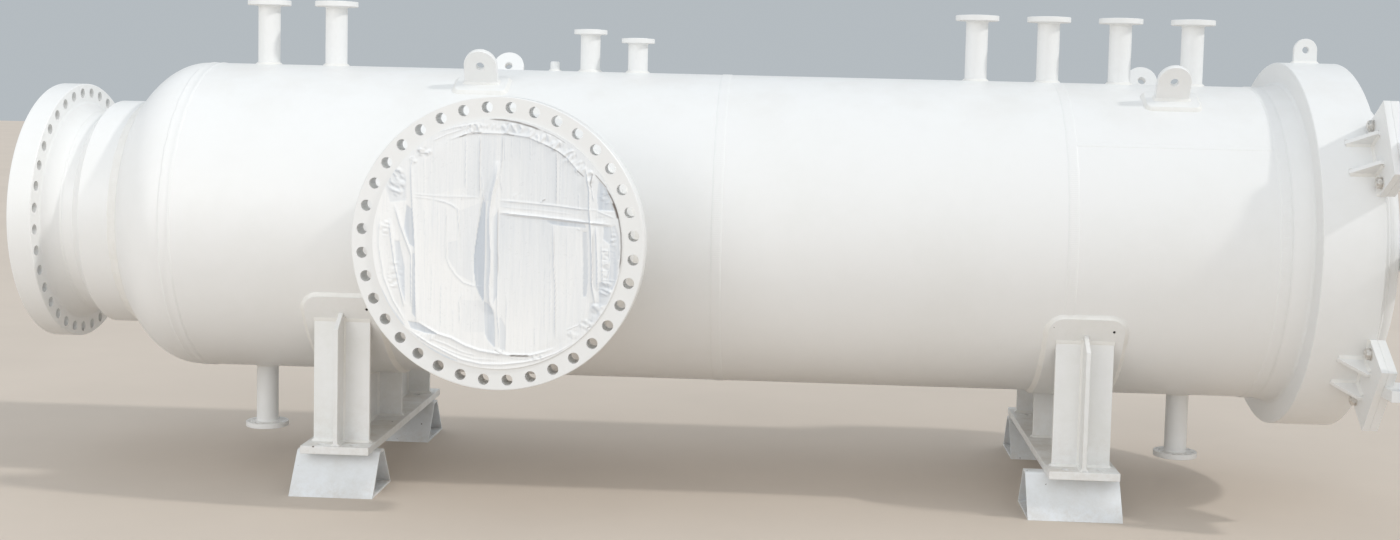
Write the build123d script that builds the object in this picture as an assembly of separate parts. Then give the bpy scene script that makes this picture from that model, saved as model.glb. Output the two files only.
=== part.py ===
from build123d import *
import math
import os

# Horizontal gas filter vessel on two saddles, all sizes in millimetres.
# X runs along the vessel from the end nozzle to the closure, -Y is the side of the big side
# nozzle and +Z is up. The stations below are measured from the seam of the left head, insets
# from the closure's seam, and heights from the vessel's axis. At the end everything moves to
# stand on Z = 0.

# Shell and head
shell_outer_radius = 590
shell_wall = 30
shell_length = 3940
left_course_length = 1965
right_course_length = 722
head_straight_flange = 50
head_depth_ratio = 0.5

# Big nozzles, one on the head's axis and one square to the shell
big_flange_outer_radius = 495.5
big_flange_thickness = 92
big_face_radius = 422.5
big_face_height = 3
big_bolt_circle_radius = 460.4
big_bolt_count = 36
big_bolt_hole_radius = 19
big_bore_radius = 355.5
hub_base_wall = 64.5
hub_end_wall = 34.5
hub_length = 64
big_flange_edge = 3
hub_fillet_radius = 12
neck_shoulder_start = 110
neck_shoulder_end = 150
neck_barrel_wall = 77.5
end_nozzle_projection = 278
side_nozzle_station = 1255
side_nozzle_projection = 336
cover_thickness = 3
cover_radius = big_face_radius

# Small flanged nozzles
small_flange_radius = 82.5
small_flange_thickness = 22
small_face_height = 2
small_face_margin = 4
small_bolt_circle_radius = 63.5
small_bolt_count = 8
small_bolt_hole_radius = 9.5
small_barrel_radius = 42
small_bore_radius = 25
small_nozzle_projection = 250
small_neck_fillet_radius = 7
small_flange_edge = 1.5
gauge_flange_radius = 64
gauge_flange_thickness = 20
gauge_bolt_circle_radius = 50
gauge_bolt_count = 4
gauge_bolt_hole_radius = 8
gauge_barrel_radius = 38
gauge_bore_radius = 19
gauge_station = 1440
gauge_pitch = 185
tall_gauge_projection = 163
short_gauge_projection = 133
vent_station = 180
vent_pitch = 265
instrument_inset = 200
instrument_pitch = 272
instrument_count = 4
left_drain_station = 180
right_drain_inset = 200
coupling_station = 1303
coupling_radius = 18
coupling_height = 36
coupling_edge = 4

# Quick-opening closure
closure_neck_length = 115
closure_neck_straight = 48
closure_neck_growth = 12
closure_neck_fillet_radius = 14
ring_height = 96
ring_length = 215
ring_edge_radius = 5
door_rim_step = 80
door_rim_length = 40
door_rim_land = 50
door_rim_edge_radius = 6
door_straight_length = 20
door_knuckle_radius = 40
door_crown_radius = 3756
door_dome_wall = 60
door_spigot_length = 70
door_spigot_wall = 60
door_seat_gap = 1.5
closure_lug_width = 86
closure_lug_thickness = 20
closure_lug_hole_height = 49
closure_lug_hole_radius = 12.5

# Hinge of the closure door, on the ring's near side
upper_hinge_angle = 31
lower_hinge_angle = -35.5
hinge_plate_length = 286
hinge_plate_thickness = 24
hinge_plate_reach = 148
gusset_length = 97
gusset_thickness = 14
gusset_spacing = 115
gusset_height = 76
hinge_block_thickness = 30
hinge_lug_thickness = 40
hinge_knuckle_radius = 34
hinge_pin_standoff = 114
hinge_pin_radius = 17
hinge_pin_clearance = 0.05
hinge_pin_overhang = 25
hinge_sleeve_gap = 0.3
door_arm_height = 120
door_arm_thickness = 40
door_arm_end = 70
door_boss_radius = 85
door_boss_height = 22
hinge_corner_radius = 12

# Lifting lugs on the shell
left_lug_station = 1070
right_lug_inset = 328
lug_angle = 26.4
lug_width = 122
lug_thickness = 25
lug_hole_height = 83
lug_hole_radius = 15
lug_pad_length = 190
lug_pad_width = 120
lug_pad_thickness = 12
lug_pad_corner_radius = 20

# Saddles
left_saddle_station = 615
right_saddle_inset = 646
wear_plate_thickness = 12
wear_plate_width = 270
wear_plate_half_angle = 66
saddle_half_angle = 55
wear_plate_corner_radius = 55
vent_hole_radius = 5
vent_hole_offset = 96
vent_hole_drop = 290
base_plate_width = 250
base_plate_margin = 13
base_plate_thickness = 28
base_plate_clearance = 220
rib_width = 206
rib_thickness = 16
web_thickness = 16
web_wing = 89
web_rise = 30
web_chamfer_width = 66
web_chamfer_height = 54
anchor_hole_radius = 13
anchor_hole_side_offset = 60
anchor_hole_inset = 50
anchor_hole_outset = 59

# Folded feet under the saddles, each placed by its offset along the vessel from the saddle and
# its inset from the base plate's end
foot_height = 150
foot_base_depth = 275
foot_top_depth = 58
foot_plate_thickness = 9
foot_bend_radius = 6
left_foot_length = 305
right_foot_length = 335
left_front_foot_offset = -4
left_front_foot_inset = 105
left_rear_foot_offset = -17
left_rear_foot_inset = 130
right_front_foot_offset = -26
right_front_foot_inset = 140
right_rear_foot_offset = 36
right_rear_foot_inset = 70

# Sizes that follow from the ones above
shell_inner_radius = shell_outer_radius - shell_wall
course_seams = [left_course_length, shell_length - right_course_length]
head_depth = shell_inner_radius * head_depth_ratio + shell_wall
end_flange_reach = head_straight_flange + head_depth + end_nozzle_projection
side_flange_reach = shell_outer_radius + side_nozzle_projection
hub_base_radius = big_bore_radius + hub_base_wall
hub_end_radius = big_bore_radius + hub_end_wall
neck_barrel_radius = big_bore_radius + neck_barrel_wall
instrument_stations = [shell_length - instrument_inset - instrument_pitch * i
                       for i in reversed(range(instrument_count))]
small_top_stations = [vent_station, vent_station + vent_pitch] + instrument_stations
gauge_stations = [gauge_station, gauge_station + gauge_pitch]
drain_stations = [left_drain_station, shell_length - right_drain_inset]
ring_start = shell_length + closure_neck_length
ring_end = ring_start + ring_length
ring_outer_radius = shell_outer_radius + ring_height
door_rim_radius = ring_outer_radius - door_rim_step
door_knuckle_offset = door_rim_radius - door_rim_land - door_knuckle_radius
door_crown_rise = math.sqrt(
    (door_crown_radius - door_knuckle_radius) ** 2 - door_knuckle_offset ** 2)
door_crown_angle = math.degrees(math.atan2(door_knuckle_offset, door_crown_rise))
door_crown_end = (ring_end + door_rim_length + door_straight_length
                  + door_crown_radius - door_crown_rise)
hinge_pin_station = ring_end + hinge_block_thickness + hinge_knuckle_radius
hinge_pin_offset = ring_outer_radius + hinge_pin_standoff
lug_stations = [left_lug_station, shell_length - right_lug_inset]
lug_hole_distance = shell_outer_radius + lug_hole_height
saddle_stations = [left_saddle_station, shell_length - right_saddle_inset]
wear_outer_radius = shell_outer_radius + wear_plate_thickness
outer_rib_offset = wear_outer_radius * math.sin(math.radians(saddle_half_angle))
web_half_length = outer_rib_offset + web_wing
base_plate_length = 2 * (web_half_length + base_plate_margin)
base_plate_underside = shell_outer_radius + base_plate_clearance
base_plate_top = base_plate_underside - base_plate_thickness
anchor_hole_offsets = [outer_rib_offset - anchor_hole_inset, outer_rib_offset + anchor_hole_outset]
ground_depth = base_plate_underside + foot_height
left_saddle, right_saddle = saddle_stations
foot_reach = base_plate_length / 2
foot_places = {
    "left_front_foot": (left_saddle + left_front_foot_offset,
                        left_front_foot_inset - foot_reach, left_foot_length),
    "left_rear_foot": (left_saddle + left_rear_foot_offset,
                       foot_reach - left_rear_foot_inset, left_foot_length),
    "right_front_foot": (right_saddle + right_front_foot_offset,
                         right_front_foot_inset - foot_reach, right_foot_length),
    "right_rear_foot": (right_saddle + right_rear_foot_offset,
                        foot_reach - right_rear_foot_inset, right_foot_length),
}


def outline(*corners):
    """Closed face through (u, v, rounding radius) corners."""
    points = [corner[:2] for corner in corners]
    radii = [corner[2] for corner in corners]
    return make_face(FilletPolyline(*points, radius=radii, close=True))


def turned(*points):
    """A solid turned about the X axis from (station, radius) points."""
    return revolve(make_face(Polyline(*points, close=True)), Axis.X)


def inner_space():
    """The room inside the shell and the head, which trims every set-in nozzle."""
    depth = shell_inner_radius * head_depth_ratio
    dome = EllipticalCenterArc((-head_straight_flange, 0), depth, shell_inner_radius, start_angle=90,
                               arc_size=90)
    tip = (-head_straight_flange - depth, 0)
    start = (-head_straight_flange, shell_inner_radius)
    rest = Polyline(tip, (ring_end, 0), (ring_end, shell_inner_radius), start)
    return revolve(make_face([dome, rest]), Axis.X)


def head():
    """Two-to-one elliptical head with a straight flange."""
    dome = EllipticalCenterArc((-head_straight_flange, 0), head_depth, shell_outer_radius,
                               start_angle=90, arc_size=90)
    tip = (-head_straight_flange - head_depth, 0)
    start = (-head_straight_flange, shell_outer_radius)
    rest = Polyline(tip, (0, 0), (0, shell_outer_radius), start)
    solid = revolve(make_face([dome, rest]), Axis.X)
    opening = Pos(-head_straight_flange - head_depth, 0, 0) * Cylinder(
        neck_barrel_radius, 4 * head_depth, rotation=(0, 90, 0))
    return solid - inner_space() - opening


def bolt_holes(circle_radius, hole_radius, count, height, depth):
    """Holes through a flange about the local Z axis that straddle its centre lines."""
    hole = Pos(0, 0, height) * Cylinder(hole_radius, depth)
    return PolarLocations(circle_radius, count, start_angle=180 / count) * hole


def big_flange():
    """Weld-neck flange about Z, its raised face at Z = 0 and its hub reaching down."""
    back = -big_flange_thickness
    rim = big_flange_outer_radius - big_flange_edge
    profile = outline(
        (big_bore_radius, 0, 0),
        (big_face_radius, 0, 0),
        (big_face_radius, -big_face_height, 0),
        (rim, -big_face_height, 0),
        (big_flange_outer_radius, -big_face_height - big_flange_edge, 0),
        (big_flange_outer_radius, back + big_flange_edge, 0),
        (rim, back, 0),
        (hub_base_radius, back, hub_fillet_radius),
        (hub_end_radius, back - hub_length, 0),
        (big_bore_radius, back - hub_length, 0))
    solid = revolve(Plane.XZ * profile, Axis.Z)
    holes = bolt_holes(big_bolt_circle_radius, big_bolt_hole_radius, big_bolt_count, 0,
                       3 * big_flange_thickness)
    return solid - holes


def big_neck(reach):
    """Thick nozzle barrel about Z behind the big flange, down to the vessel's inside."""
    back = -big_flange_thickness
    profile = Polyline(
        (big_bore_radius, back - hub_length),
        (hub_end_radius, back - hub_length),
        (hub_end_radius, back - neck_shoulder_start),
        (neck_barrel_radius, back - neck_shoulder_end),
        (neck_barrel_radius, -reach),
        (big_bore_radius, -reach),
        close=True)
    return revolve(make_face(Plane.XZ * profile), Axis.Z)


def cover():
    """Film cover stretched over the raised face of a big flange."""
    return Pos(0, 0, cover_thickness / 2) * Cylinder(cover_radius, cover_thickness)


def small_nozzle(projection, flange_radius, flange_thickness, circle_radius, count, hole_radius,
                 barrel_radius, bore_radius):
    """Long-neck nozzle along Z from the vessel's axis, its face a projection above the shell."""
    top = shell_outer_radius + projection
    face_radius = circle_radius - hole_radius - small_face_margin
    rim = flange_radius - small_flange_edge
    back = top - flange_thickness
    profile = outline(
        (bore_radius, 0, 0),
        (barrel_radius, 0, 0),
        (barrel_radius, back, small_neck_fillet_radius),
        (rim, back, 0),
        (flange_radius, back + small_flange_edge, 0),
        (flange_radius, top - small_face_height - small_flange_edge, 0),
        (rim, top - small_face_height, 0),
        (face_radius, top - small_face_height, 0),
        (face_radius, top, 0),
        (bore_radius, top, 0))
    solid = revolve(Plane.XZ * profile, Axis.Z)
    holes = bolt_holes(circle_radius, hole_radius, count, top, 4 * flange_thickness)
    return solid - holes


def pipe_nozzle():
    """The usual small nozzle, with eight bolt holes."""
    return small_nozzle(small_nozzle_projection, small_flange_radius, small_flange_thickness,
                        small_bolt_circle_radius, small_bolt_count, small_bolt_hole_radius,
                        small_barrel_radius, small_bore_radius)


def gauge_nozzle(projection):
    """The smaller nozzle, with four bolt holes."""
    return small_nozzle(projection, gauge_flange_radius, gauge_flange_thickness,
                        gauge_bolt_circle_radius, gauge_bolt_count, gauge_bolt_hole_radius,
                        gauge_barrel_radius, gauge_bore_radius)


def coupling():
    """Plugged half coupling standing on the top of the shell."""
    top = shell_outer_radius + coupling_height
    body = Pos(0, 0, top / 2) * Cylinder(coupling_radius, top)
    return chamfer(body.faces().sort_by(Axis.Z)[-1].edges(), coupling_edge)


def closure_hub():
    """Forged closure neck and ring in one piece."""
    return revolve(outline(
        (shell_length, shell_inner_radius, 0),
        (shell_length, shell_outer_radius, 0),
        (shell_length + closure_neck_straight, shell_outer_radius, 0),
        (ring_start, shell_outer_radius + closure_neck_growth, closure_neck_fillet_radius),
        (ring_start, ring_outer_radius, ring_edge_radius),
        (ring_end, ring_outer_radius, ring_edge_radius),
        (ring_end, shell_inner_radius, 0)), Axis.X)


def closure_door():
    """Dished closure door, seated on the ring's end face by a hollow spigot."""
    rim_end = ring_end + door_rim_length
    spigot_radius = shell_inner_radius - door_seat_gap
    centre = door_crown_end - door_crown_radius
    crown = CenterArc((centre, 0), door_crown_radius, 0, door_crown_angle)
    knuckle = CenterArc(
        (rim_end + door_straight_length, door_knuckle_offset), door_knuckle_radius,
        door_crown_angle, 90 - door_crown_angle)
    rest = Polyline(
        crown @ 0,
        (ring_end - door_spigot_length, 0),
        (ring_end - door_spigot_length, spigot_radius),
        (ring_end, spigot_radius),
        (ring_end, door_rim_radius),
        (rim_end - door_rim_edge_radius, door_rim_radius),
        (rim_end, door_rim_radius - door_rim_edge_radius),
        (rim_end, door_rim_radius - door_rim_land),
        knuckle @ 1)
    solid = revolve(make_face([crown, knuckle, rest]), Axis.X)
    hollow = Pos(ring_end, 0, 0) * Cylinder(
        spigot_radius - door_spigot_wall, 4 * door_spigot_length, rotation=(0, 90, 0))
    return solid - (hollow & Pos(centre, 0, 0) * Sphere(door_crown_radius - door_dome_wall))


def closure_lug():
    """Upright lifting lug on top of the closure ring."""
    hole_z = ring_outer_radius + closure_lug_hole_height
    radius = closure_lug_width / 2
    plate = Pos(0, 0, hole_z / 2) * Box(closure_lug_width, closure_lug_thickness, hole_z)
    eye = Pos(0, 0, hole_z) * Cylinder(radius, closure_lug_thickness, rotation=(90, 0, 0))
    hole = Pos(0, 0, hole_z) * Cylinder(closure_lug_hole_radius, 2 * closure_lug_thickness,
                                        rotation=(90, 0, 0))
    return plate + eye - hole


def on_ring(angle, solid):
    """Turns a piece built at the ring's near side, along -Y, up by an angle about the axis."""
    return Rot(-angle, 0, 0) * solid


def hinge_bracket():
    """Plate flush with the ring's end, on two gussets, built at the ring's near side."""
    reach = ring_outer_radius + hinge_plate_reach
    plate = Pos(ring_end - hinge_plate_thickness / 2, -reach / 2, 0) * Box(
        hinge_plate_thickness, reach, hinge_plate_length)
    solid = plate
    gusset_end = ring_end - hinge_plate_thickness
    for side in (-1, 1):
        triangle = make_face(Polyline(
            (gusset_end, 0),
            (gusset_end, -(ring_outer_radius + gusset_height)),
            (gusset_end - gusset_thickness, -(ring_outer_radius + gusset_height)),
            (gusset_end - gusset_length, -ring_outer_radius),
            (gusset_end - gusset_length, 0),
            close=True))
        solid += Pos(0, 0, side * gusset_spacing / 2) * extrude(
            triangle, gusset_thickness / 2, both=True)
    core = Pos(ring_end - ring_length, 0, 0) * Cylinder(
        ring_outer_radius, 3 * ring_length, rotation=(0, 90, 0))
    return solid - core


def hinge_plate_centre(angle):
    """Side offset and height of the middle of a hinge plate."""
    radius = ring_outer_radius + hinge_plate_reach / 2
    return (-radius * math.cos(math.radians(angle)), radius * math.sin(math.radians(angle)))


def hinge_block(angle):
    """Plate bolted to a hinge bracket, with a level lug that holds the hinge pin."""
    reach = ring_outer_radius + hinge_plate_reach
    plate = Pos(ring_end + hinge_block_thickness / 2, -reach / 2, 0) * Box(
        hinge_block_thickness, reach, hinge_plate_length)
    core = Pos(ring_end, 0, 0) * Cylinder(ring_outer_radius, ring_length, rotation=(0, 90, 0))
    y, z = hinge_plate_centre(angle)
    knuckle_side = hinge_pin_station + hinge_knuckle_radius
    lug = Pos(0, 0, z) * extrude(outline(
        (ring_end, -hinge_pin_offset, 0),
        (knuckle_side, -hinge_pin_offset, 0),
        (knuckle_side, y, hinge_corner_radius),
        (ring_end, y, 0)), hinge_lug_thickness / 2, both=True)
    knuckle = Pos(hinge_pin_station, -hinge_pin_offset, z) * Cylinder(
        hinge_knuckle_radius, hinge_lug_thickness)
    bore = Pos(hinge_pin_station, -hinge_pin_offset, z) * Cylinder(
        hinge_pin_radius + hinge_pin_clearance, 2 * hinge_lug_thickness)
    return on_ring(angle, plate - core) + lug + knuckle - bore


def hinge_pin():
    """Upright pin through both hinge lugs."""
    low = hinge_plate_centre(lower_hinge_angle)[1] - hinge_lug_thickness / 2 - hinge_pin_overhang
    high = hinge_plate_centre(upper_hinge_angle)[1] + hinge_lug_thickness / 2 + hinge_pin_overhang
    return Pos(hinge_pin_station, -hinge_pin_offset, (low + high) / 2) * Cylinder(
        hinge_pin_radius, high - low)


def door_arm():
    """Sleeve on the hinge pin with an arm across to a boss at the middle of the door."""
    inset = hinge_lug_thickness / 2 + hinge_sleeve_gap
    low = hinge_plate_centre(lower_hinge_angle)[1] + inset
    high = hinge_plate_centre(upper_hinge_angle)[1] - inset
    centre = Pos(hinge_pin_station, -hinge_pin_offset, (low + high) / 2)
    sleeve = centre * Cylinder(hinge_knuckle_radius, high - low)
    bore = centre * Cylinder(hinge_pin_radius + hinge_pin_clearance, 2 * (high - low))
    face = door_crown_end + door_boss_height
    arm = extrude(outline(
        (hinge_pin_station, -hinge_pin_offset, 0),
        (hinge_pin_station + hinge_knuckle_radius, -hinge_pin_offset, 0),
        (face + door_arm_thickness, -door_rim_radius, 3 * hinge_corner_radius),
        (face + door_arm_thickness, door_arm_end, hinge_corner_radius),
        (face, door_arm_end, 0),
        (face, -door_rim_radius + door_arm_thickness, 2 * hinge_corner_radius)),
        door_arm_height / 2, both=True)
    boss = Pos(door_crown_end, 0, 0) * Cylinder(
        door_boss_radius, 2 * door_boss_height, rotation=(0, 90, 0))
    return sleeve + arm + boss - bore - closure_door()


def lug():
    """Radial lifting lug, built upright over the axis."""
    radius = lug_width / 2
    plate = Pos(0, 0, lug_hole_distance / 2) * Box(lug_width, lug_thickness, lug_hole_distance)
    eye = Pos(0, 0, lug_hole_distance) * Cylinder(radius, lug_thickness, rotation=(90, 0, 0))
    hole = Pos(0, 0, lug_hole_distance) * Cylinder(lug_hole_radius, 2 * lug_thickness,
                                                   rotation=(90, 0, 0))
    core = Cylinder(shell_outer_radius + lug_pad_thickness, 2 * lug_width, rotation=(0, 90, 0))
    return plate + eye - hole - core


def curved_pad(length, inner_radius, thickness, half_width, corner_radius):
    """Plate bent round the shell, centred over the axis, with rounded corners."""
    outer = Cylinder(inner_radius + thickness, length, rotation=(0, 90, 0))
    core = Cylinder(inner_radius, 2 * length, rotation=(0, 90, 0))
    blank = Pos(0, 0, inner_radius) * extrude(
        RectangleRounded(length, 2 * half_width, corner_radius), inner_radius, both=True)
    return (outer - core) & blank


def wear_plate():
    """Plate bent round the underside of the shell, with rounded corners, over the saddle."""
    band = Cylinder(wear_outer_radius, wear_plate_width, rotation=(0, 90, 0))
    core = Cylinder(shell_outer_radius, 2 * wear_plate_width, rotation=(0, 90, 0))
    horn_drop = wear_outer_radius * math.cos(math.radians(wear_plate_half_angle))
    silhouette = RectangleRounded(wear_plate_width, 4 * horn_drop, wear_plate_corner_radius)
    lower = Pos(0, 0, -3 * horn_drop) * extrude(
        Plane.XZ * silhouette, 2 * wear_outer_radius, both=True)
    below = Pos(0, 0, -3 * horn_drop) * Box(wear_plate_width, 4 * wear_outer_radius, 2 * horn_drop)
    hole = Pos(vent_hole_offset, -wear_outer_radius, -vent_hole_drop) * Cylinder(
        vent_hole_radius, wear_outer_radius, rotation=(90, 0, 0))
    return ((band - core) & (lower + below)) - hole


def saddle_cradle():
    """The room that the wear plate takes, which shapes the tops of the web and ribs."""
    return Cylinder(wear_outer_radius, 4 * base_plate_width, rotation=(0, 90, 0))


def base_plate():
    plate = Pos(0, 0, -base_plate_underside + base_plate_thickness / 2) * Box(
        base_plate_width, base_plate_length, base_plate_thickness)
    for x in (-anchor_hole_side_offset, anchor_hole_side_offset):
        for offset in anchor_hole_offsets:
            for y in (-offset, offset):
                plate -= Pos(x, y, -base_plate_underside) * Cylinder(
                    anchor_hole_radius, 3 * base_plate_thickness)
    return plate


def web():
    """Upright plate across the vessel, with chamfered wings outside the end ribs."""
    horn = -math.sqrt(wear_outer_radius ** 2 - (outer_rib_offset + rib_thickness / 2) ** 2)
    top = horn + web_rise
    shape = make_face(Polyline(
        (-web_half_length, -base_plate_top),
        (-web_half_length, top - web_chamfer_height),
        (-web_half_length + web_chamfer_width, top),
        (web_half_length - web_chamfer_width, top),
        (web_half_length, top - web_chamfer_height),
        (web_half_length, -base_plate_top),
        close=True))
    plate = extrude(Plane.YZ * shape, web_thickness / 2, both=True)
    return plate - saddle_cradle()


def saddle_ribs():
    """End ribs and a middle rib, each in two halves welded to the web."""
    half = (rib_width - web_thickness) / 2
    ribs = []
    for x in (-1, 1):
        for y in (-outer_rib_offset, 0, outer_rib_offset):
            plate = Pos(x * (web_thickness + half) / 2, y, -base_plate_top / 2) * Box(
                half, rib_thickness, base_plate_top)
            ribs.append((plate - saddle_cradle()).solid())
    return Compound(children=ribs)


def foot(length):
    """Folded plate foot of trapezoid section with a floor strip, about its base centre."""
    def section(base, top, low, high, radius):
        return outline((-base / 2, low, 0), (-top / 2, high, radius), (top / 2, high, radius),
                       (base / 2, low, 0))
    t = foot_plate_thickness
    slope = (foot_base_depth - foot_top_depth) / 2 / foot_height
    side = t * math.sqrt(1 + slope ** 2)
    outer = section(foot_base_depth, foot_top_depth, 0, foot_height, foot_bend_radius + t)
    inner = section(foot_base_depth - 2 * side - 2 * slope * t,
                    foot_top_depth - 2 * side + 2 * slope * t, t, foot_height - t,
                    foot_bend_radius)
    return extrude(Plane.YZ * (outer - inner), length / 2, both=True)


nodes = {}

# Shell courses and head
space = inner_space()
cuts = [Pos(side_nozzle_station, -shell_outer_radius, 0) * Cylinder(
    neck_barrel_radius, shell_outer_radius, rotation=(90, 0, 0))]
cuts += [Pos(x, 0, shell_outer_radius) * Cylinder(small_barrel_radius, shell_outer_radius)
         for x in small_top_stations]
cuts += [Pos(x, 0, shell_outer_radius) * Cylinder(gauge_barrel_radius, shell_outer_radius)
         for x in gauge_stations]
cuts += [Pos(x, 0, -shell_outer_radius) * Cylinder(small_barrel_radius, shell_outer_radius)
         for x in drain_stations]
cuts += [Pos(coupling_station, 0, shell_outer_radius) * Cylinder(coupling_radius,
                                                                 shell_outer_radius)]
ends = [0] + course_seams + [shell_length]
for name, start, end in zip(("left_shell_course", "middle_shell_course", "right_shell_course"),
                            ends, ends[1:]):
    course = turned((start, shell_inner_radius), (start, shell_outer_radius),
                    (end, shell_outer_radius), (end, shell_inner_radius))
    for cut in cuts:
        course -= cut
    nodes[name] = course
nodes["left_head"] = head()

# Big nozzles
end_place = Location((-end_flange_reach, 0, 0), (0, -90, 0))
side_place = Location((side_nozzle_station, -side_flange_reach, 0), (90, 0, 0))
for name, place, reach in (("end", end_place, end_flange_reach),
                           ("side", side_place, side_flange_reach)):
    nodes[name + "_nozzle_flange"] = place * big_flange()
    nodes[name + "_nozzle_neck"] = place * big_neck(reach) - space
    nodes[name + "_nozzle_cover"] = place * cover()

# Small nozzles and the coupling
names = ["left_vent_nozzle", "right_vent_nozzle"]
names += [f"instrument_nozzle_{i + 1}" for i in range(instrument_count)]
for name, x in zip(names, small_top_stations):
    nodes[name] = Pos(x, 0, 0) * pipe_nozzle() - space
for i, (x, projection) in enumerate(zip(gauge_stations,
                                        (tall_gauge_projection, short_gauge_projection))):
    nodes[f"gauge_nozzle_{i + 1}"] = Pos(x, 0, 0) * gauge_nozzle(projection) - space
for name, x in zip(("left_drain_nozzle", "right_drain_nozzle"), drain_stations):
    nodes[name] = Pos(x, 0, 0) * Rot(180, 0, 0) * pipe_nozzle() - space
nodes["top_coupling"] = Pos(coupling_station, 0, 0) * coupling() - space

# Closure
nodes["closure_hub"] = closure_hub()
nodes["closure_door"] = closure_door()
nodes["closure_lug"] = Pos(ring_start + ring_length / 2, 0, 0) * closure_lug() - Pos(
    ring_start, 0, 0) * Cylinder(ring_outer_radius, 3 * ring_length, rotation=(0, 90, 0))
for side, angle in (("upper", upper_hinge_angle), ("lower", lower_hinge_angle)):
    nodes[side + "_hinge_bracket"] = on_ring(angle, hinge_bracket())
    nodes[side + "_hinge_block"] = hinge_block(angle)
nodes["hinge_pin"] = hinge_pin()
nodes["door_arm"] = door_arm()

# Lifting lugs and their pads
for side, x in zip(("left", "right"), lug_stations):
    pair = []
    pads = []
    for angle in (lug_angle, -lug_angle):
        place = Pos(x, 0, 0) * Rot(angle, 0, 0)
        pair.append((place * lug()).solid())
        pads.append((place * curved_pad(lug_pad_length, shell_outer_radius, lug_pad_thickness,
                                        lug_pad_width / 2, lug_pad_corner_radius)).solid())
    nodes[side + "_lifting_lugs"] = Compound(children=pair)
    nodes[side + "_lug_pads"] = Compound(children=pads)

# Saddles and feet
for side, x in zip(("left", "right"), saddle_stations):
    place = Pos(x, 0, 0)
    nodes[side + "_wear_plate"] = place * wear_plate()
    nodes[side + "_saddle_web"] = place * web()
    nodes[side + "_saddle_ribs"] = place * saddle_ribs()
    nodes[side + "_base_plate"] = place * base_plate()
for name, (x, y, length) in foot_places.items():
    nodes[name] = Pos(x, y, -ground_depth) * foot(length)

# Standing on Z = 0, centred in its box
boxes = [node.bounding_box() for node in nodes.values()]
mid_x = (min(b.min.X for b in boxes) + max(b.max.X for b in boxes)) / 2
mid_y = (min(b.min.Y for b in boxes) + max(b.max.Y for b in boxes)) / 2
stand = Pos(-mid_x, -mid_y, ground_depth)
os.makedirs("parts", exist_ok=True)
for name, node in nodes.items():
    export_step(stand * node, f"parts/{name}.step")
print("origin offset", round(mid_x, 3), round(mid_y, 3), ground_depth)
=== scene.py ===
import math

import bmesh
import bpy
import numpy as np
from mathutils import Matrix, Vector, noise


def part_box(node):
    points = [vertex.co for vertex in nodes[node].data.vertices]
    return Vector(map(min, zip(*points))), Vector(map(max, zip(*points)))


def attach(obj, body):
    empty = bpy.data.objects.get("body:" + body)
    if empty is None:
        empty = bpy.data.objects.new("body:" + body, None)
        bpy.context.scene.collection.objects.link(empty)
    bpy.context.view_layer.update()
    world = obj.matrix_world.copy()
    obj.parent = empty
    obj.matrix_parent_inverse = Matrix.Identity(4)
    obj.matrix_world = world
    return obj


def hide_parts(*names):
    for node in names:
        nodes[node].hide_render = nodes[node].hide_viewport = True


# Gas filter vessel on two saddles. Everything is in metres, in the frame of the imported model.
# Stations run along the vessel from the head's seam towards the closure.

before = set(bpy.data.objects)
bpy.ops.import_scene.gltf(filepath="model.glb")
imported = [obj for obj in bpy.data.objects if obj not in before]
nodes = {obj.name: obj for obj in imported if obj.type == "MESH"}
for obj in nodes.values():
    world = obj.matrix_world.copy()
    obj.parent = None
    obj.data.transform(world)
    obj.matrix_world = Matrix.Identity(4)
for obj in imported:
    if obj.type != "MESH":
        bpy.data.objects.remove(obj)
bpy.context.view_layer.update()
print("frame loaded", len(nodes), "nodes")

courseLow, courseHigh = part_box("left_shell_course")
headSeam = courseLow.x
axisSide = (courseLow.y + courseHigh.y) / 2
axisHeight = (courseLow.z + courseHigh.z) / 2
shellRadius = (courseHigh.z - courseLow.z) / 2


def at(station, side, height):
    return Vector((headSeam + station, axisSide + side, axisHeight + height))


# Camera, in the photograph's place

camera = {
    "place": (0.3515, -6.3339, 1.5133),
    "yaw": -0.046,
    "pitch": 0.070,
    "roll": -0.024,
    "focalPixels": 1669.7,
    "principalPixel": (723.2, 201.4),
    "imagePixels": (1400, 540),
    "sensor": 36.0,
}


def placeCamera(spec):
    yaw, pitch, roll = spec["yaw"], spec["pitch"], spec["roll"]
    forward = Vector((math.sin(yaw) * math.cos(pitch), math.cos(yaw) * math.cos(pitch),
                      -math.sin(pitch)))
    level = Vector((math.cos(yaw), -math.sin(yaw), 0))
    drop = forward.cross(level)
    right = math.cos(roll) * level + math.sin(roll) * drop
    down = math.cos(roll) * drop - math.sin(roll) * level
    turn = Matrix((right, -down, -forward)).transposed().to_4x4()
    width, height = spec["imagePixels"]
    data = bpy.data.cameras.new("photoCamera")
    data.sensor_fit = "HORIZONTAL"
    data.sensor_width = spec["sensor"]
    data.lens = spec["focalPixels"] / width * spec["sensor"]
    data.shift_x = (width / 2 - spec["principalPixel"][0]) / width
    data.shift_y = (spec["principalPixel"][1] - height / 2) / width
    data.clip_end = 100
    view = bpy.data.objects.new("photoCamera", data)
    view.matrix_world = Matrix.Translation(spec["place"]) @ turn
    bpy.context.scene.collection.objects.link(view)
    bpy.context.scene.camera = view


placeCamera(camera)


# Node helpers

def put(tree, kind, values=None, links=None, **settings):
    node = tree.nodes.new(kind)
    for key, value in settings.items():
        setattr(node, key, value)
    for key, value in (values or {}).items():
        node.inputs[key].default_value = value
    for key, source in (links or {}).items():
        tree.links.new(source, node.inputs[key])
    return node


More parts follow.
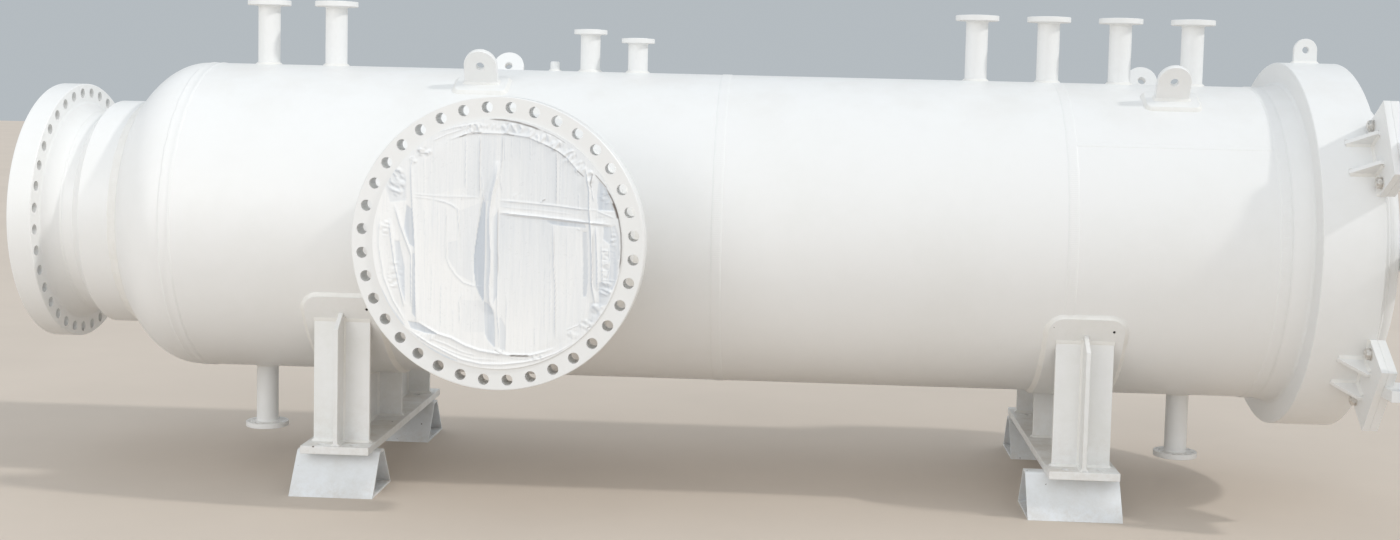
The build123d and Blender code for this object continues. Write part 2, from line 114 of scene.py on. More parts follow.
def newGroup(name, inputs, outputs):
    group = bpy.data.node_groups.new(name, "ShaderNodeTree")
    for label, kind, value in inputs:
        socket = group.interface.new_socket(label, in_out="INPUT", socket_type=kind)
        socket.default_value = value
    for label, kind in outputs:
        group.interface.new_socket(label, in_out="OUTPUT", socket_type=kind)
    return group, put(group, "NodeGroupInput").outputs, put(group, "NodeGroupOutput").inputs


floatSocket = "NodeSocketFloat"
colorSocket = "NodeSocketColor"


def ramp(tree, source, low, high, first=0.0, last=1.0):
    node = put(tree, "ShaderNodeMapRange", {1: low, 2: high, 3: first, 4: last}, {0: source},
               interpolation_type="SMOOTHSTEP")
    return node.outputs[0]


def noiseAt(tree, place, scale, detail=3.0, roughness=0.55):
    node = put(tree, "ShaderNodeTexNoise",
               {"Scale": scale, "Detail": detail, "Roughness": roughness}, {"Vector": place})
    return node.outputs["Fac"]


def mathOf(tree, operation, first, second):
    node = put(tree, "ShaderNodeMath", operation=operation)
    for slot, value in ((0, first), (1, second)):
        if isinstance(value, (int, float)):
            node.inputs[slot].default_value = value
        else:
            tree.links.new(value, node.inputs[slot])
    return node.outputs[0]


def mixColor(tree, factor, first, second):
    node = put(tree, "ShaderNodeMix", data_type="RGBA")
    for slot, value in ((0, factor), (6, first), (7, second)):
        if isinstance(value, (int, float, tuple)):
            node.inputs[slot].default_value = value
        else:
            tree.links.new(value, node.inputs[slot])
    return node.outputs[2]


# Effects that several finishes share

def makeToneGroup():
    group, inside, out = newGroup("brushedTone", [
        ("Color", colorSocket, (0.8, 0.8, 0.8, 1)), ("Shade", colorSocket, (0.7, 0.7, 0.7, 1)),
        ("Amount", floatSocket, 0.3), ("Patch Size", floatSocket, 0.4)],
        [("Color", colorSocket), ("Mask", floatSocket)])
    place = put(group, "ShaderNodeTexCoord").outputs["Object"]
    scale = mathOf(group, "DIVIDE", 1.0, inside["Patch Size"])
    broad = put(group, "ShaderNodeTexNoise", {"Detail": 4.0, "Roughness": 0.6},
                {"Vector": place, "Scale": scale}).outputs["Fac"]
    fine = put(group, "ShaderNodeTexNoise", {"Detail": 3.0, "Roughness": 0.7},
               {"Vector": place, "Scale": mathOf(group, "MULTIPLY", scale, 9.0)}).outputs["Fac"]
    both = mathOf(group, "ADD", mathOf(group, "MULTIPLY", broad, 0.7),
                  mathOf(group, "MULTIPLY", fine, 0.3))
    mask = mathOf(group, "MULTIPLY", ramp(group, both, 0.38, 0.68), inside["Amount"])
    group.links.new(mixColor(group, mask, inside["Color"], inside["Shade"]), out["Color"])
    group.links.new(mask, out["Mask"])
    return group


def makeDustGroup():
    group, inside, out = newGroup("yardDust", [
        ("Color", colorSocket, (0.8, 0.8, 0.8, 1)), ("Dust", colorSocket, (0.5, 0.42, 0.33, 1)),
        ("Top Amount", floatSocket, 0.1), ("Splash Amount", floatSocket, 0.4),
        ("Splash Height", floatSocket, 0.35)],
        [("Color", colorSocket), ("Mask", floatSocket)])
    coords = put(group, "ShaderNodeTexCoord").outputs["Object"]
    height = put(group, "ShaderNodeSeparateXYZ", links={0: coords}).outputs["Z"]
    facing = put(group, "ShaderNodeSeparateXYZ", links={
        0: put(group, "ShaderNodeNewGeometry").outputs["Normal"]}).outputs["Z"]
    speckle = ramp(group, noiseAt(group, coords, 21.0, 6.0, 0.75), 0.36, 0.74)
    cloud = ramp(group, noiseAt(group, coords, 5.0, 4.0, 0.6), 0.35, 0.7)
    top = mathOf(group, "MULTIPLY", ramp(group, facing, 0.55, 0.95),
                 mathOf(group, "MULTIPLY", cloud, inside["Top Amount"]))
    share = mathOf(group, "DIVIDE", height, inside["Splash Height"])
    splash = mathOf(group, "MULTIPLY", ramp(group, share, 1.0, 0.0),
                    mathOf(group, "MULTIPLY", speckle, inside["Splash Amount"]))
    mask = mathOf(group, "MINIMUM", mathOf(group, "ADD", top, splash), 1.0)
    group.links.new(mixColor(group, mask, inside["Color"], inside["Dust"]), out["Color"])
    group.links.new(mask, out["Mask"])
    return group


def makeReliefGroup():
    group, inside, out = newGroup("sprayedRelief", [
        ("Peel Size", floatSocket, 0.004), ("Peel Height", floatSocket, 0.00006),
        ("Wave Size", floatSocket, 0.12), ("Wave Height", floatSocket, 0.0004)],
        [("Height", floatSocket)])
    place = put(group, "ShaderNodeTexCoord").outputs["Object"]
    peel = put(group, "ShaderNodeTexNoise", {"Detail": 2.0}, {
        "Vector": place, "Scale": mathOf(group, "DIVIDE", 1.0, inside["Peel Size"])})
    wave = put(group, "ShaderNodeTexNoise", {"Detail": 2.0}, {
        "Vector": place, "Scale": mathOf(group, "DIVIDE", 1.0, inside["Wave Size"])})
    group.links.new(mathOf(
        group, "ADD",
        mathOf(group, "MULTIPLY", peel.outputs["Fac"], inside["Peel Height"]),
        mathOf(group, "MULTIPLY", wave.outputs["Fac"], inside["Wave Height"])), out["Height"])
    return group


def makeChipGroup():
    group, inside, out = newGroup("paintChips", [
        ("Spacing", floatSocket, 0.05), ("Chip Size", floatSocket, 0.12),
        ("Share", floatSocket, 0.1)],
        [("Mask", floatSocket)])
    place = put(group, "ShaderNodeTexCoord").outputs["Object"]
    warp = put(group, "ShaderNodeTexNoise", {"Scale": 130.0}, {"Vector": place})
    moved = put(group, "ShaderNodeVectorMath", links={
        0: place, 1: put(group, "ShaderNodeVectorMath", {"Scale": 0.008}, {
            0: warp.outputs["Color"]}, operation="SCALE").outputs[0]}, operation="ADD")
    cells = put(group, "ShaderNodeTexVoronoi", links={
        "Vector": moved.outputs[0], "Scale": mathOf(group, "DIVIDE", 1.0, inside["Spacing"])})
    near = mathOf(group, "LESS_THAN", cells.outputs["Distance"], inside["Chip Size"])
    pick = put(group, "ShaderNodeSeparateColor", links={0: cells.outputs["Color"]})
    chosen = mathOf(group, "LESS_THAN", pick.outputs[0], inside["Share"])
    group.links.new(mathOf(group, "MULTIPLY", near, chosen), out["Mask"])
    return group


toneGroup = makeToneGroup()
dustGroup = makeDustGroup()
reliefGroup = makeReliefGroup()
chipGroup = makeChipGroup()
print("effects ready")


# Finishes

whitePaint = {
    "color": (0.855, 0.855, 0.845, 1), "shade": (0.80, 0.80, 0.775, 1), "patch": 0.5,
    "patchAmount": 0.35, "roughness": 0.40, "roughSpread": 0.10, "dustTop": 0.10,
    "dustSplash": 0.10, "splashHeight": 0.45, "peelSize": 0.005, "peelHeight": 0.00007,
    "waveSize": 0.16, "waveHeight": 0.0006, "chipSpacing": 0.16, "chipSize": 0.035,
    "chipShare": 0.0,
}
steelworkPaint = dict(whitePaint, shade=(0.78, 0.78, 0.745, 1), patch=0.22, patchAmount=0.5,
                      dustTop=0.35, dustSplash=0.35, chipSpacing=0.06, chipSize=0.06,
                      chipShare=0.16, waveSize=0.06, waveHeight=0.0002)
weldPaint = dict(whitePaint, color=(0.86, 0.85, 0.82, 1), shade=(0.79, 0.775, 0.73, 1),
                 patch=0.06, patchAmount=0.6, peelSize=0.003, peelHeight=0.00012,
                 waveSize=0.02, waveHeight=0.0004)
footPaint = dict(whitePaint, color=(0.80, 0.82, 0.835, 1), shade=(0.69, 0.695, 0.68, 1),
                 patch=0.20, patchAmount=0.65, roughness=0.5, roughSpread=0.2, dustTop=0.3,
                 dustSplash=0.35, splashHeight=0.10, chipSpacing=0.03, chipSize=0.09,
                 chipShare=0.14, waveSize=0.05, waveHeight=0.0004)


def paintMaterial(name, spec):
    material = bpy.data.materials.new(name)
    material.use_nodes = True
    tree = material.node_tree
    shader = tree.nodes["Principled BSDF"]
    tone = put(tree, "ShaderNodeGroup", node_tree=toneGroup)
    tone.inputs["Color"].default_value = spec["color"]
    tone.inputs["Shade"].default_value = spec["shade"]
    tone.inputs["Amount"].default_value = spec["patchAmount"]
    tone.inputs["Patch Size"].default_value = spec["patch"]
    dust = put(tree, "ShaderNodeGroup", node_tree=dustGroup)
    dust.inputs["Top Amount"].default_value = spec["dustTop"]
    dust.inputs["Splash Amount"].default_value = spec["dustSplash"]
    dust.inputs["Splash Height"].default_value = spec["splashHeight"]
    tree.links.new(tone.outputs["Color"], dust.inputs["Color"])
    chips = put(tree, "ShaderNodeGroup", node_tree=chipGroup)
    chips.inputs["Spacing"].default_value = spec["chipSpacing"]
    chips.inputs["Chip Size"].default_value = spec["chipSize"]
    chips.inputs["Share"].default_value = spec["chipShare"]
    color = mixColor(tree, chips.outputs["Mask"], dust.outputs["Color"], (0.13, 0.10, 0.08, 1))
    tree.links.new(color, shader.inputs["Base Color"])
    rough = mathOf(tree, "ADD", spec["roughness"],
                   mathOf(tree, "MULTIPLY", tone.outputs["Mask"], spec["roughSpread"]))
    rough = mathOf(tree, "ADD", rough, mathOf(tree, "MULTIPLY", dust.outputs["Mask"], 0.35))
    tree.links.new(rough, shader.inputs["Roughness"])
    relief = put(tree, "ShaderNodeGroup", node_tree=reliefGroup)
    relief.inputs["Peel Size"].default_value = spec["peelSize"]
    relief.inputs["Peel Height"].default_value = spec["peelHeight"]
    relief.inputs["Wave Size"].default_value = spec["waveSize"]
    relief.inputs["Wave Height"].default_value = spec["waveHeight"]
    height = mathOf(tree, "SUBTRACT", relief.outputs["Height"],
                    mathOf(tree, "MULTIPLY", chips.outputs["Mask"], 0.0002))
    bump = put(tree, "ShaderNodeBump", {"Strength": 1.0, "Distance": 1.0}, {"Height": height})
    tree.links.new(bump.outputs["Normal"], shader.inputs["Normal"])
    return material


def dress(material, *names):
    for name in names:
        slots = nodes[name].data.materials
        if len(slots):
            for slot in nodes[name].material_slots:
                slot.link = "OBJECT"
                slot.material = material
        else:
            slots.append(material)


def softenEdges(name, width, clamp=True):
    piece = nodes[name]
    join = piece.modifiers.new("join", "WELD")
    join.merge_threshold = 0.00002
    flatten = piece.modifiers.new("flatten", "DECIMATE")
    flatten.decimate_type = "DISSOLVE"
    flatten.angle_limit = math.radians(1)
    edge = piece.modifiers.new("edge", "BEVEL")
    edge.width = width
    edge.segments = 2
    edge.angle_limit = math.radians(35)
    edge.harden_normals = True
    edge.use_clamp_overlap = clamp


edgeWidths = {"saddle_web": 0.0020, "saddle_ribs": 0.0020, "base_plate": 0.0022,
              "lifting_lugs": 0.0025, "lug_pads": 0.0020, "foot": 0.0010,
              "hinge_bracket": 0.0022, "hinge_block": 0.0022, "closure_lug": 0.0025}
shellMaterial = paintMaterial("shellPaint", whitePaint)
steelworkMaterial = paintMaterial("steelworkPaint", steelworkPaint)
weldMaterial = paintMaterial("weldPaint", weldPaint)
footMaterial = paintMaterial("footPaint", footPaint)

for name in nodes:
    if name.endswith("_foot"):
        dress(footMaterial, name)
    elif "saddle" in name or "base_plate" in name or "wear_plate" in name:
        dress(steelworkMaterial, name)
    else:
        dress(shellMaterial, name)
for name in sorted(nodes):
    for ending, width in edgeWidths.items():
        if name.endswith(ending):
            softenEdges(name, width, ending != "base_plate")
print("finishes ready")


# Shapes: turned parts, weld beads and hexagon nuts

def finishMesh(name, points, faces, material, sharp=40.0):
    mesh = bpy.data.meshes.new(name)
    mesh.from_pydata([tuple(point) for point in points], [], faces)
    shape = bmesh.new()
    shape.from_mesh(mesh)
    bmesh.ops.recalc_face_normals(shape, faces=shape.faces)
    shape.to_mesh(mesh)
    shape.free()
    mesh.shade_smooth()
    mesh.set_sharp_from_angle(angle=math.radians(sharp))
    mesh.materials.append(material)
    piece = bpy.data.objects.new(name, mesh)
    bpy.context.scene.collection.objects.link(piece)
    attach(piece, "root")
    return piece


def filletSection(legs, swell, steps=5):
    first, second = legs
    section = []
    for i in range(steps):
        share = i / (steps - 1)
        crown = 4 * share * (1 - share)
        section.append((first * (1 - share) - 0.001 * share, second * share
                        - 0.001 * (1 - share), swell * crown, crown))
    section.append((-0.2 * first, -0.2 * second, 0.0, 0.0))
    return section


def crownSection(width, height, crowns):
    return [(share * width / 2, -0.001, (height + 0.001) * crown, crown)
            for share, crown in crowns]


def capSection(width, height):
    return crownSection(width, height, (
        (-1, 0), (-0.88, 0.62), (-0.70, 0.92), (-0.35, 1), (0, 0.96), (0.35, 1), (0.70, 0.92),
        (0.88, 0.62), (1, 0)))


# Two raised passes side by side
def ridgeSection(width, height):
    return crownSection(width, height, (
        (-1, 0), (-0.90, 0.60), (-0.74, 1), (-0.56, 0.85), (-0.40, 0.45), (0, 0.35),
        (0.34, 0.45), (0.50, 0.85), (0.70, 1), (0.88, 0.60), (1, 0)))


# Sweeps a weld section along path, a list of (point, first way, second way)
def addBead(points, faces, path, section, closed, pitch, ripple=0.35, cap=False):
    rows = len(path)
    size = len(section)
    start = len(points)
    travelled = 0.0
    for i, (place, first, second) in enumerate(path):
        before = path[i - 1][0] if i or closed else place
        after = path[(i + 1) % rows][0] if i + 1 < rows or closed else place
        travel = (after - before).normalized()
        if i:
            travelled += (place - path[i - 1][0]).length
        phase = (travelled / pitch) % 1.0
        wave = 1.0 - ripple * phase
        wander = 1.0 + 0.10 * noise.noise(Vector((travelled * 22.0, start * 0.37, 0.0)))
        out = second if cap else (first + second).normalized()
        for a, b, raised, crown in section:
            spot = place + first * (a * wander) + second * (b * (1.0 if cap else wander))
            spot = spot + out * (raised * wave) + travel * (0.3 * pitch * crown)
            points.append(spot)
    count = rows if closed else rows - 1
    for i in range(count):
        low = start + i * size
        high = start + ((i + 1) % rows) * size
        for j in range(size):
            k = (j + 1) % size
            faces.append((low + j, low + k, high + k, high + j))
    if not closed:
        faces.append(tuple(start + j for j in range(size)))
        faces.append(tuple(start + (rows - 1) * size + j for j in reversed(range(size))))


def spread(length, pitch, closed):
    rows = max(3, round(length / (pitch / 3)))
    return [i / (rows if closed else rows - 1) for i in range(rows)]


# A direction from parts along the vessel and along a radius
def turned(across, radial, side, height):
    return Vector((across, radial * side, radial * height))


# Round the vessel's axis; first and second are (along, outward) directions
def ringPath(station, radius, first, second, pitch):
    path = []
    for share in spread(math.tau * radius, pitch, True):
        angle = math.tau * share
        side, height = math.cos(angle), math.sin(angle)
        path.append((at(station, radius * side, radius * height),
                     turned(first[0], first[1], side, height).normalized(),
                     turned(second[0], second[1], side, height).normalized()))
    return path


# Where a branch along axis meets the round shell of runRadius
def branchPath(station, axis, cross, radius, runRadius, pitch):
    path = []
    for share in spread(math.tau * radius, pitch, True):
        angle = math.tau * share
        aside = radius * math.sin(angle)
        rise = math.sqrt(runRadius ** 2 - aside ** 2)
        normal = (axis * rise + cross * aside).normalized()
        outward = Vector((math.cos(angle), 0, 0)) + cross * math.sin(angle)
        place = at(station, 0, 0) + axis * rise + cross * aside
        place.x += radius * math.cos(angle)
        away = (outward - normal * outward.dot(normal)).normalized()
        path.append((place, axis.copy(), away))
    return path


# Round a branch's own axis; first and second are (along, outward) directions
def circlePath(centre, axis, first, radius, second, pitch):
    path = []
    cross = axis.cross(first)
    for share in spread(math.tau * radius, pitch, True):
        angle = math.tau * share
        outward = first * math.cos(angle) + cross * math.sin(angle)
        path.append((centre + outward * radius, (axis * second[0][0] + outward * second[0][1])
                     .normalized(), (axis * second[1][0] + outward * second[1][1]).normalized()))
    return path


def straightPath(start, end, first, second, pitch):
    return [(start.lerp(end, share), first, second)
            for share in spread((end - start).length, pitch, False)]


# Points and outward directions round a rectangle with rounded corners
def roundedLoop(halfWidth, halfLength, cornerAcross, cornerAlong, step):
    loop = []
    straights = [
        ((halfWidth, -halfLength + cornerAlong), (halfWidth, halfLength - cornerAlong), (1, 0)),
        ((halfWidth - cornerAcross, halfLength), (-halfWidth + cornerAcross, halfLength), (0, 1)),
        ((-halfWidth, halfLength - cornerAlong), (-halfWidth, -halfLength + cornerAlong), (-1, 0)),
        ((-halfWidth + cornerAcross, -halfLength), (halfWidth - cornerAcross, -halfLength),
         (0, -1))]
    for start, end, way in straights:
        length = math.dist(start, end)
        count = max(2, round(length / step))
        for i in range(count):
            share = i / count
            loop.append((start[0] + (end[0] - start[0]) * share,
                         start[1] + (end[1] - start[1]) * share, way))
        quarter = math.atan2(way[1], way[0])
        centre = (end[0] - way[0] * cornerAcross, end[1] - way[1] * cornerAlong)
        count = max(4, round((cornerAcross + cornerAlong) / 2 * math.pi / 2 / step))
        for i in range(count):
            angle = quarter + math.pi / 2 * i / count
            loop.append((centre[0] + cornerAcross * math.cos(angle),
                         centre[1] + cornerAlong * math.sin(angle),
                         (math.cos(angle), math.sin(angle))))
    return loop


# Lays a flat loop of (along, round) points on the round shell
def wrappedPath(station, centreAngle, radius, loop):
    path = []
    for along, around, way in loop:
        angle = centreAngle + around / radius
        side, height = math.sin(angle), math.cos(angle)
        tangent = Vector((0, math.cos(angle), -math.sin(angle)))
        away = (Vector((way[0], 0, 0)) + tangent * way[1]).normalized()
        path.append((at(station + along, radius * side, radius * height),
                     Vector((0, side, height)), away))
    return path


# Weld beads, in metres

welds = {
    "pitch": 0.0075,
    "headSeam": -0.013, "headSeamWidth": 0.050, "headSeamHeight": 0.0030,
    "courseSeamShift": 0.008, "courseSeamWidth": 0.042, "courseSeamHeight": 0.0020,
    "hubSeam": 3.9605, "hubSeamWidth": 0.046, "hubSeamHeight": 0.0030,
    "headNeckLegs": (0.026, 0.030), "shellNeckLegs": (0.022, 0.026),
    "nozzleLegs": (0.009, 0.010), "couplingLegs": (0.008, 0.008),
    "padLegs": (0.0115, 0.011), "lugLegs": (0.009, 0.009),
    "wearLegs": (0.0115, 0.017), "saddleLegs": (0.008, 0.008), "baseLegs": (0.009, 0.009),
    "hingeLegs": (0.009, 0.009),
    "longSeamAngle": 39.0,
}
vessel = {
    "headFlange": 0.050, "headDepth": 0.310, "courseSeams": (1.965, 3.218),
    "length": 3.940, "neckRadius": 0.433, "hubEndRadius": 0.390, "hubEndDepth": 0.156,
    "sideStation": 1.255, "smallRadius": 0.042, "gaugeRadius": 0.038,
    "couplingRadius": 0.018, "wearOuterRadius": 0.602, "wearHalfAngle": 65.47,
    "lugStations": (1.070, 3.612), "lugAngle": 26.4, "padHalf": (0.095, 0.060),
    "padCorner": 0.020, "padThickness": 0.012, "lugHalf": (0.061, 0.0125),
    "saddleStations": (0.615, 3.294), "wearHalfWidth": 0.135, "wearCorner": (0.055, 0.060),
    "ribSide": 0.49313, "ribThickness": 0.016, "ribHalfWidth": 0.103, "webThickness": 0.016,
    "webHalfLength": 0.58213, "webTop": 0.306, "baseTop": -0.782,
    "ringEnd": 4.270, "ringRadius": 0.686,
    "hingeAngles": (31.0, -35.5), "hingePlateHalf": 0.143, "hingePlateThickness": 0.024,
    "gussetSpacing": 0.115, "gussetThickness": 0.014, "gussetLength": 0.097,
}
up, near = Vector((0, 0, 1)), Vector((0, -1, 0))
right = Vector((1, 0, 0))


def boxCentre(name):
    low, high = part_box(name)
    return (low + high) / 2


# runs are (path, section, closed, cap)
def makeBead(name, runs, finish=None):
    points, faces = [], []
    for path, section, closed, cap in runs:
        addBead(points, faces, path, section, closed, welds["pitch"], cap=cap)
    return finishMesh(name, points, faces, finish or weldMaterial, 50.0)


def makeSeams():
    pitch = welds["pitch"]
    middle = capSection(welds["courseSeamWidth"], welds["courseSeamHeight"])
    spec = [("weld_head_seam", welds["headSeam"],
             ridgeSection(welds["headSeamWidth"], welds["headSeamHeight"])),
            ("weld_hub_seam", welds["hubSeam"],
             capSection(welds["hubSeamWidth"], welds["hubSeamHeight"]))]
    for side, station in zip(("left", "right"), vessel["courseSeams"]):
        spec.append(("weld_course_seam_" + side, station + welds["courseSeamShift"], middle))
    for name, station, section in spec:
        path = ringPath(station, shellRadius, (1, 0), (0, 1), pitch)
        makeBead(name, [(path, section, True, True)], shellMaterial)
    angle = math.radians(welds["longSeamAngle"])
    side, height = -math.cos(angle), math.sin(angle)
    outward = Vector((0, side, height))
    around = Vector((0, height, -side))
    low = vessel["courseSeams"][1] + 0.01
    path = straightPath(at(low, shellRadius * side, shellRadius * height),
                        at(vessel["length"] - 0.01, shellRadius * side, shellRadius * height),
                        around, outward, pitch)
    makeBead("weld_long_seam", [(path, capSection(0.022, 0.0013), False, True)], shellMaterial)


def makeNeckWelds():
    pitch = welds["pitch"]
    radius = vessel["neckRadius"]
    share = math.sqrt(1 - (radius / shellRadius) ** 2)
    station = -vessel["headFlange"] - vessel["headDepth"] * share
    slope = Vector((-share / vessel["headDepth"], radius / shellRadius ** 2)).normalized()
    path = ringPath(station, radius, (-1, 0), (slope.y, -slope.x), pitch)
    makeBead("weld_end_neck", [(path, filletSection(welds["headNeckLegs"], 0.002), True, False)])
    path = branchPath(vessel["sideStation"], near, up, radius, shellRadius, pitch)
    makeBead("weld_side_neck", [(path, filletSection(welds["shellNeckLegs"], 0.002), True,
                                 False)])
    hubRadius, depth = vessel["hubEndRadius"], vessel["hubEndDepth"]
    section = capSection(0.018, 0.0012)
    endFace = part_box("end_nozzle_flange")[0].x - headSeam
    path = ringPath(endFace + depth, hubRadius, (1, 0), (0, 1), pitch)
    makeBead("weld_end_hub", [(path, section, True, True)], shellMaterial)
    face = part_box("side_nozzle_flange")[0].y
    centre = Vector((headSeam + vessel["sideStation"], face + depth, axisHeight))
    path = circlePath(centre, near, right, hubRadius, ((1, 0), (0, 1)), pitch)
    makeBead("weld_side_hub", [(path, section, True, True)], shellMaterial)


def makeNozzleWelds():
    pitch = 0.006
    runs = []
    for name in sorted(nodes):
        if name.startswith(("instrument", "gauge")) or name.endswith(("vent_nozzle",
                                                                       "drain_nozzle")):
            radius = vessel["gaugeRadius" if name.startswith("gauge") else "smallRadius"]
            axis = -up if "drain" in name else up
            station = boxCentre(name).x - headSeam
            path = branchPath(station, axis, near, radius, shellRadius, pitch)
            runs.append((path, filletSection(welds["nozzleLegs"], 0.001), True, False))
    station = boxCentre("top_coupling").x - headSeam
    path = branchPath(station, up, near, vessel["couplingRadius"], shellRadius, pitch)
    runs.append((path, filletSection(welds["couplingLegs"], 0.001), True, False))
    makeBead("weld_small_nozzles", runs)


def makeLugWelds():
    pitch = 0.0065
    runs = []
    padLoop = roundedLoop(*vessel["padHalf"], vessel["padCorner"], vessel["padCorner"],
                          pitch / 3)
    lugLoop = roundedLoop(*vessel["lugHalf"], 0.002, 0.002, pitch / 3)
    for station in vessel["lugStations"]:
        for sign in (-1, 1):
            angle = sign * math.radians(vessel["lugAngle"])
            path = wrappedPath(station, angle, shellRadius, padLoop)
            runs.append((path, filletSection(welds["padLegs"], 0.001), True, False))
            path = wrappedPath(station, angle, shellRadius + vessel["padThickness"], lugLoop)
            runs.append((path, filletSection(welds["lugLegs"], 0.001), True, False))
    makeBead("weld_lifting_lugs", runs)


def makeSaddleWelds(side, station):
    pitch = 0.0075
    legs = welds["saddleLegs"]
    runs = []
    arc = math.radians(vessel["wearHalfAngle"]) * shellRadius
    loop = roundedLoop(vessel["wearHalfWidth"], arc, *vessel["wearCorner"], pitch / 3)
    path = wrappedPath(station, math.pi, shellRadius, loop)
    runs.append((path, filletSection(welds["wearLegs"], 0.0012), True, False))
    makeBead("weld_" + side + "_wear_plate", runs)
    runs = []
    radius = vessel["wearOuterRadius"]
    top = vessel["baseTop"]
    ribs = (-vessel["ribSide"], 0.0, vessel["ribSide"])
    halfRib, halfWeb = vessel["ribThickness"] / 2, vessel["webThickness"] / 2
    reach = math.acos(vessel["webTop"] / radius) - 0.012
    stops = [-reach] + [math.asin(y / radius) for y in ribs] + [reach]
    for sign in (-1, 1):
        across = right * sign
        for low, high in zip(stops, stops[1:]):
            low, high = low + halfRib / radius + 0.002, high - halfRib / radius - 0.002
            if high - low < 0.02:
                continue
            path = []
            for share in spread((high - low) * radius, pitch, False):
                angle = low + (high - low) * share
                inward = Vector((0, math.sin(angle), -math.cos(angle)))
                path.append((at(station + sign * halfWeb, radius * math.sin(angle),
                                -radius * math.cos(angle)), inward, across))
            runs.append((path, filletSection(legs, 0.0008), False, False))
        for y in ribs:
            for face in (-1, 1):
                wall = y + face * halfRib
                height = -math.sqrt(radius ** 2 - wall ** 2)
                outward = Vector((0, face, 0))
                corner = at(station + sign * halfWeb, wall, height)
                foot = at(station + sign * halfWeb, wall, top)
                runs.append((straightPath(foot, corner, across, outward, pitch),
                             filletSection(legs, 0.0008), False, False))
                far = at(station + sign * vessel["ribHalfWidth"], wall, height)
                slope = Vector((0, -height, wall)).normalized() * face
                runs.append((straightPath(corner, far, -up, slope, pitch),
                             filletSection(legs, 0.0008), False, False))
                floorFar = at(station + sign * vessel["ribHalfWidth"], wall, top)
                runs.append((straightPath(foot, floorFar, up, outward, pitch),
                             filletSection(welds["baseLegs"], 0.0008), False, False))
            edge = station + sign * vessel["ribHalfWidth"]
            runs.append((straightPath(at(edge, y - halfRib, top), at(edge, y + halfRib, top), up,
                                      across, pitch),
                         filletSection(welds["baseLegs"], 0.0008), False, False))
        walls = [-vessel["webHalfLength"]] + [y for y in ribs] + [vessel["webHalfLength"]]
        for low, high in zip(walls, walls[1:]):
            start = at(station + sign * halfWeb, low + (halfRib if low in ribs else 0), top)
            end = at(station + sign * halfWeb, high - (halfRib if high in ribs else 0), top)
            runs.append((straightPath(start, end, up, across, pitch),
                         filletSection(welds["baseLegs"], 0.0008), False, False))
    makeBead("weld_" + side + "_saddle", runs)


def makeHingeWelds():
    pitch = 0.0065
    runs = []
    legs = welds["hingeLegs"]
    ring = vessel["ringRadius"]
    plateFace = vessel["ringEnd"] - vessel["hingePlateThickness"]
    for degrees in vessel["hingeAngles"]:
        angle = math.radians(degrees)
        outward = Vector((0, -math.cos(angle), math.sin(angle)))
        around = Vector((0, math.sin(angle), math.cos(angle)))

        def spot(station, turn):
            place = angle + turn
            return at(station, -ring * math.cos(place), ring * math.sin(place))

        halfTurn = math.asin(vessel["hingePlateHalf"] / ring)
        gusset = vessel["gussetSpacing"] / 2
        half = vessel["gussetThickness"] / 2
        walls = [-halfTurn, -(gusset + half) / ring, -(gusset - half) / ring,
                 (gusset - half) / ring, (gusset + half) / ring, halfTurn]
        for low, high in (walls[0:2], walls[2:4], walls[4:6]):
            path = []
            for share in spread((high - low) * ring, pitch, False):
                turn = low + (high - low) * share
                path.append((spot(plateFace, turn), outward, -right))
            runs.append((path, filletSection(legs, 0.0008), False, False))
        for centre in (-gusset, gusset):
            for face in (-1, 1):
                turn = (centre + face * half) / ring
                start = spot(plateFace, turn)
                end = spot(plateFace - vessel["gussetLength"] + vessel["hingePlateThickness"]
                           * 0.2, turn)
                runs.append((straightPath(start, end, outward, around * face, pitch),
                             filletSection(legs, 0.0008), False, False))
                tip = start + outward * 0.070
                runs.append((straightPath(start, tip, -right, around * face, pitch),
                             filletSection(legs, 0.0008), False, False))
    lugLow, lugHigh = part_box("closure_lug")
    centre = (lugLow + lugHigh) / 2
    loop = roundedLoop((lugHigh.x - lugLow.x) / 2, (lugHigh.y - lugLow.y) / 2, 0.002, 0.002,
                       pitch / 3)
    path = wrappedPath(centre.x - headSeam, 0.0, ring, loop)
    runs.append((path, filletSection(legs, 0.0008), True, False))
    makeBead("weld_closure", runs)


makeSeams()
makeNeckWelds()
makeNozzleWelds()
makeLugWelds()
for side, station in zip(("left", "right"), vessel["saddleStations"]):
    makeSaddleWelds(side, station)
makeHingeWelds()
print("welds ready")



# Film covers over the two big flanges

filmCover = {
    "radius": 0.4225, "thickness": 0.003, "gridSide": 290, "gridEnd": 210,
    "streakHeight": 0.0005, "billowHeight": 0.0016, "lean": 0.0012, "wander": 0.0022,
    "shadeShare": 0.9,
    # the bluish grey is the tone of single film layers and also painted shade
    "white": (0.93, 0.93, 0.92, 1), "singleLayerAndShade": (0.62, 0.665, 0.72, 1),
    "gapShadow": (0.16, 0.135, 0.12, 1), "roughness": 0.34,
}
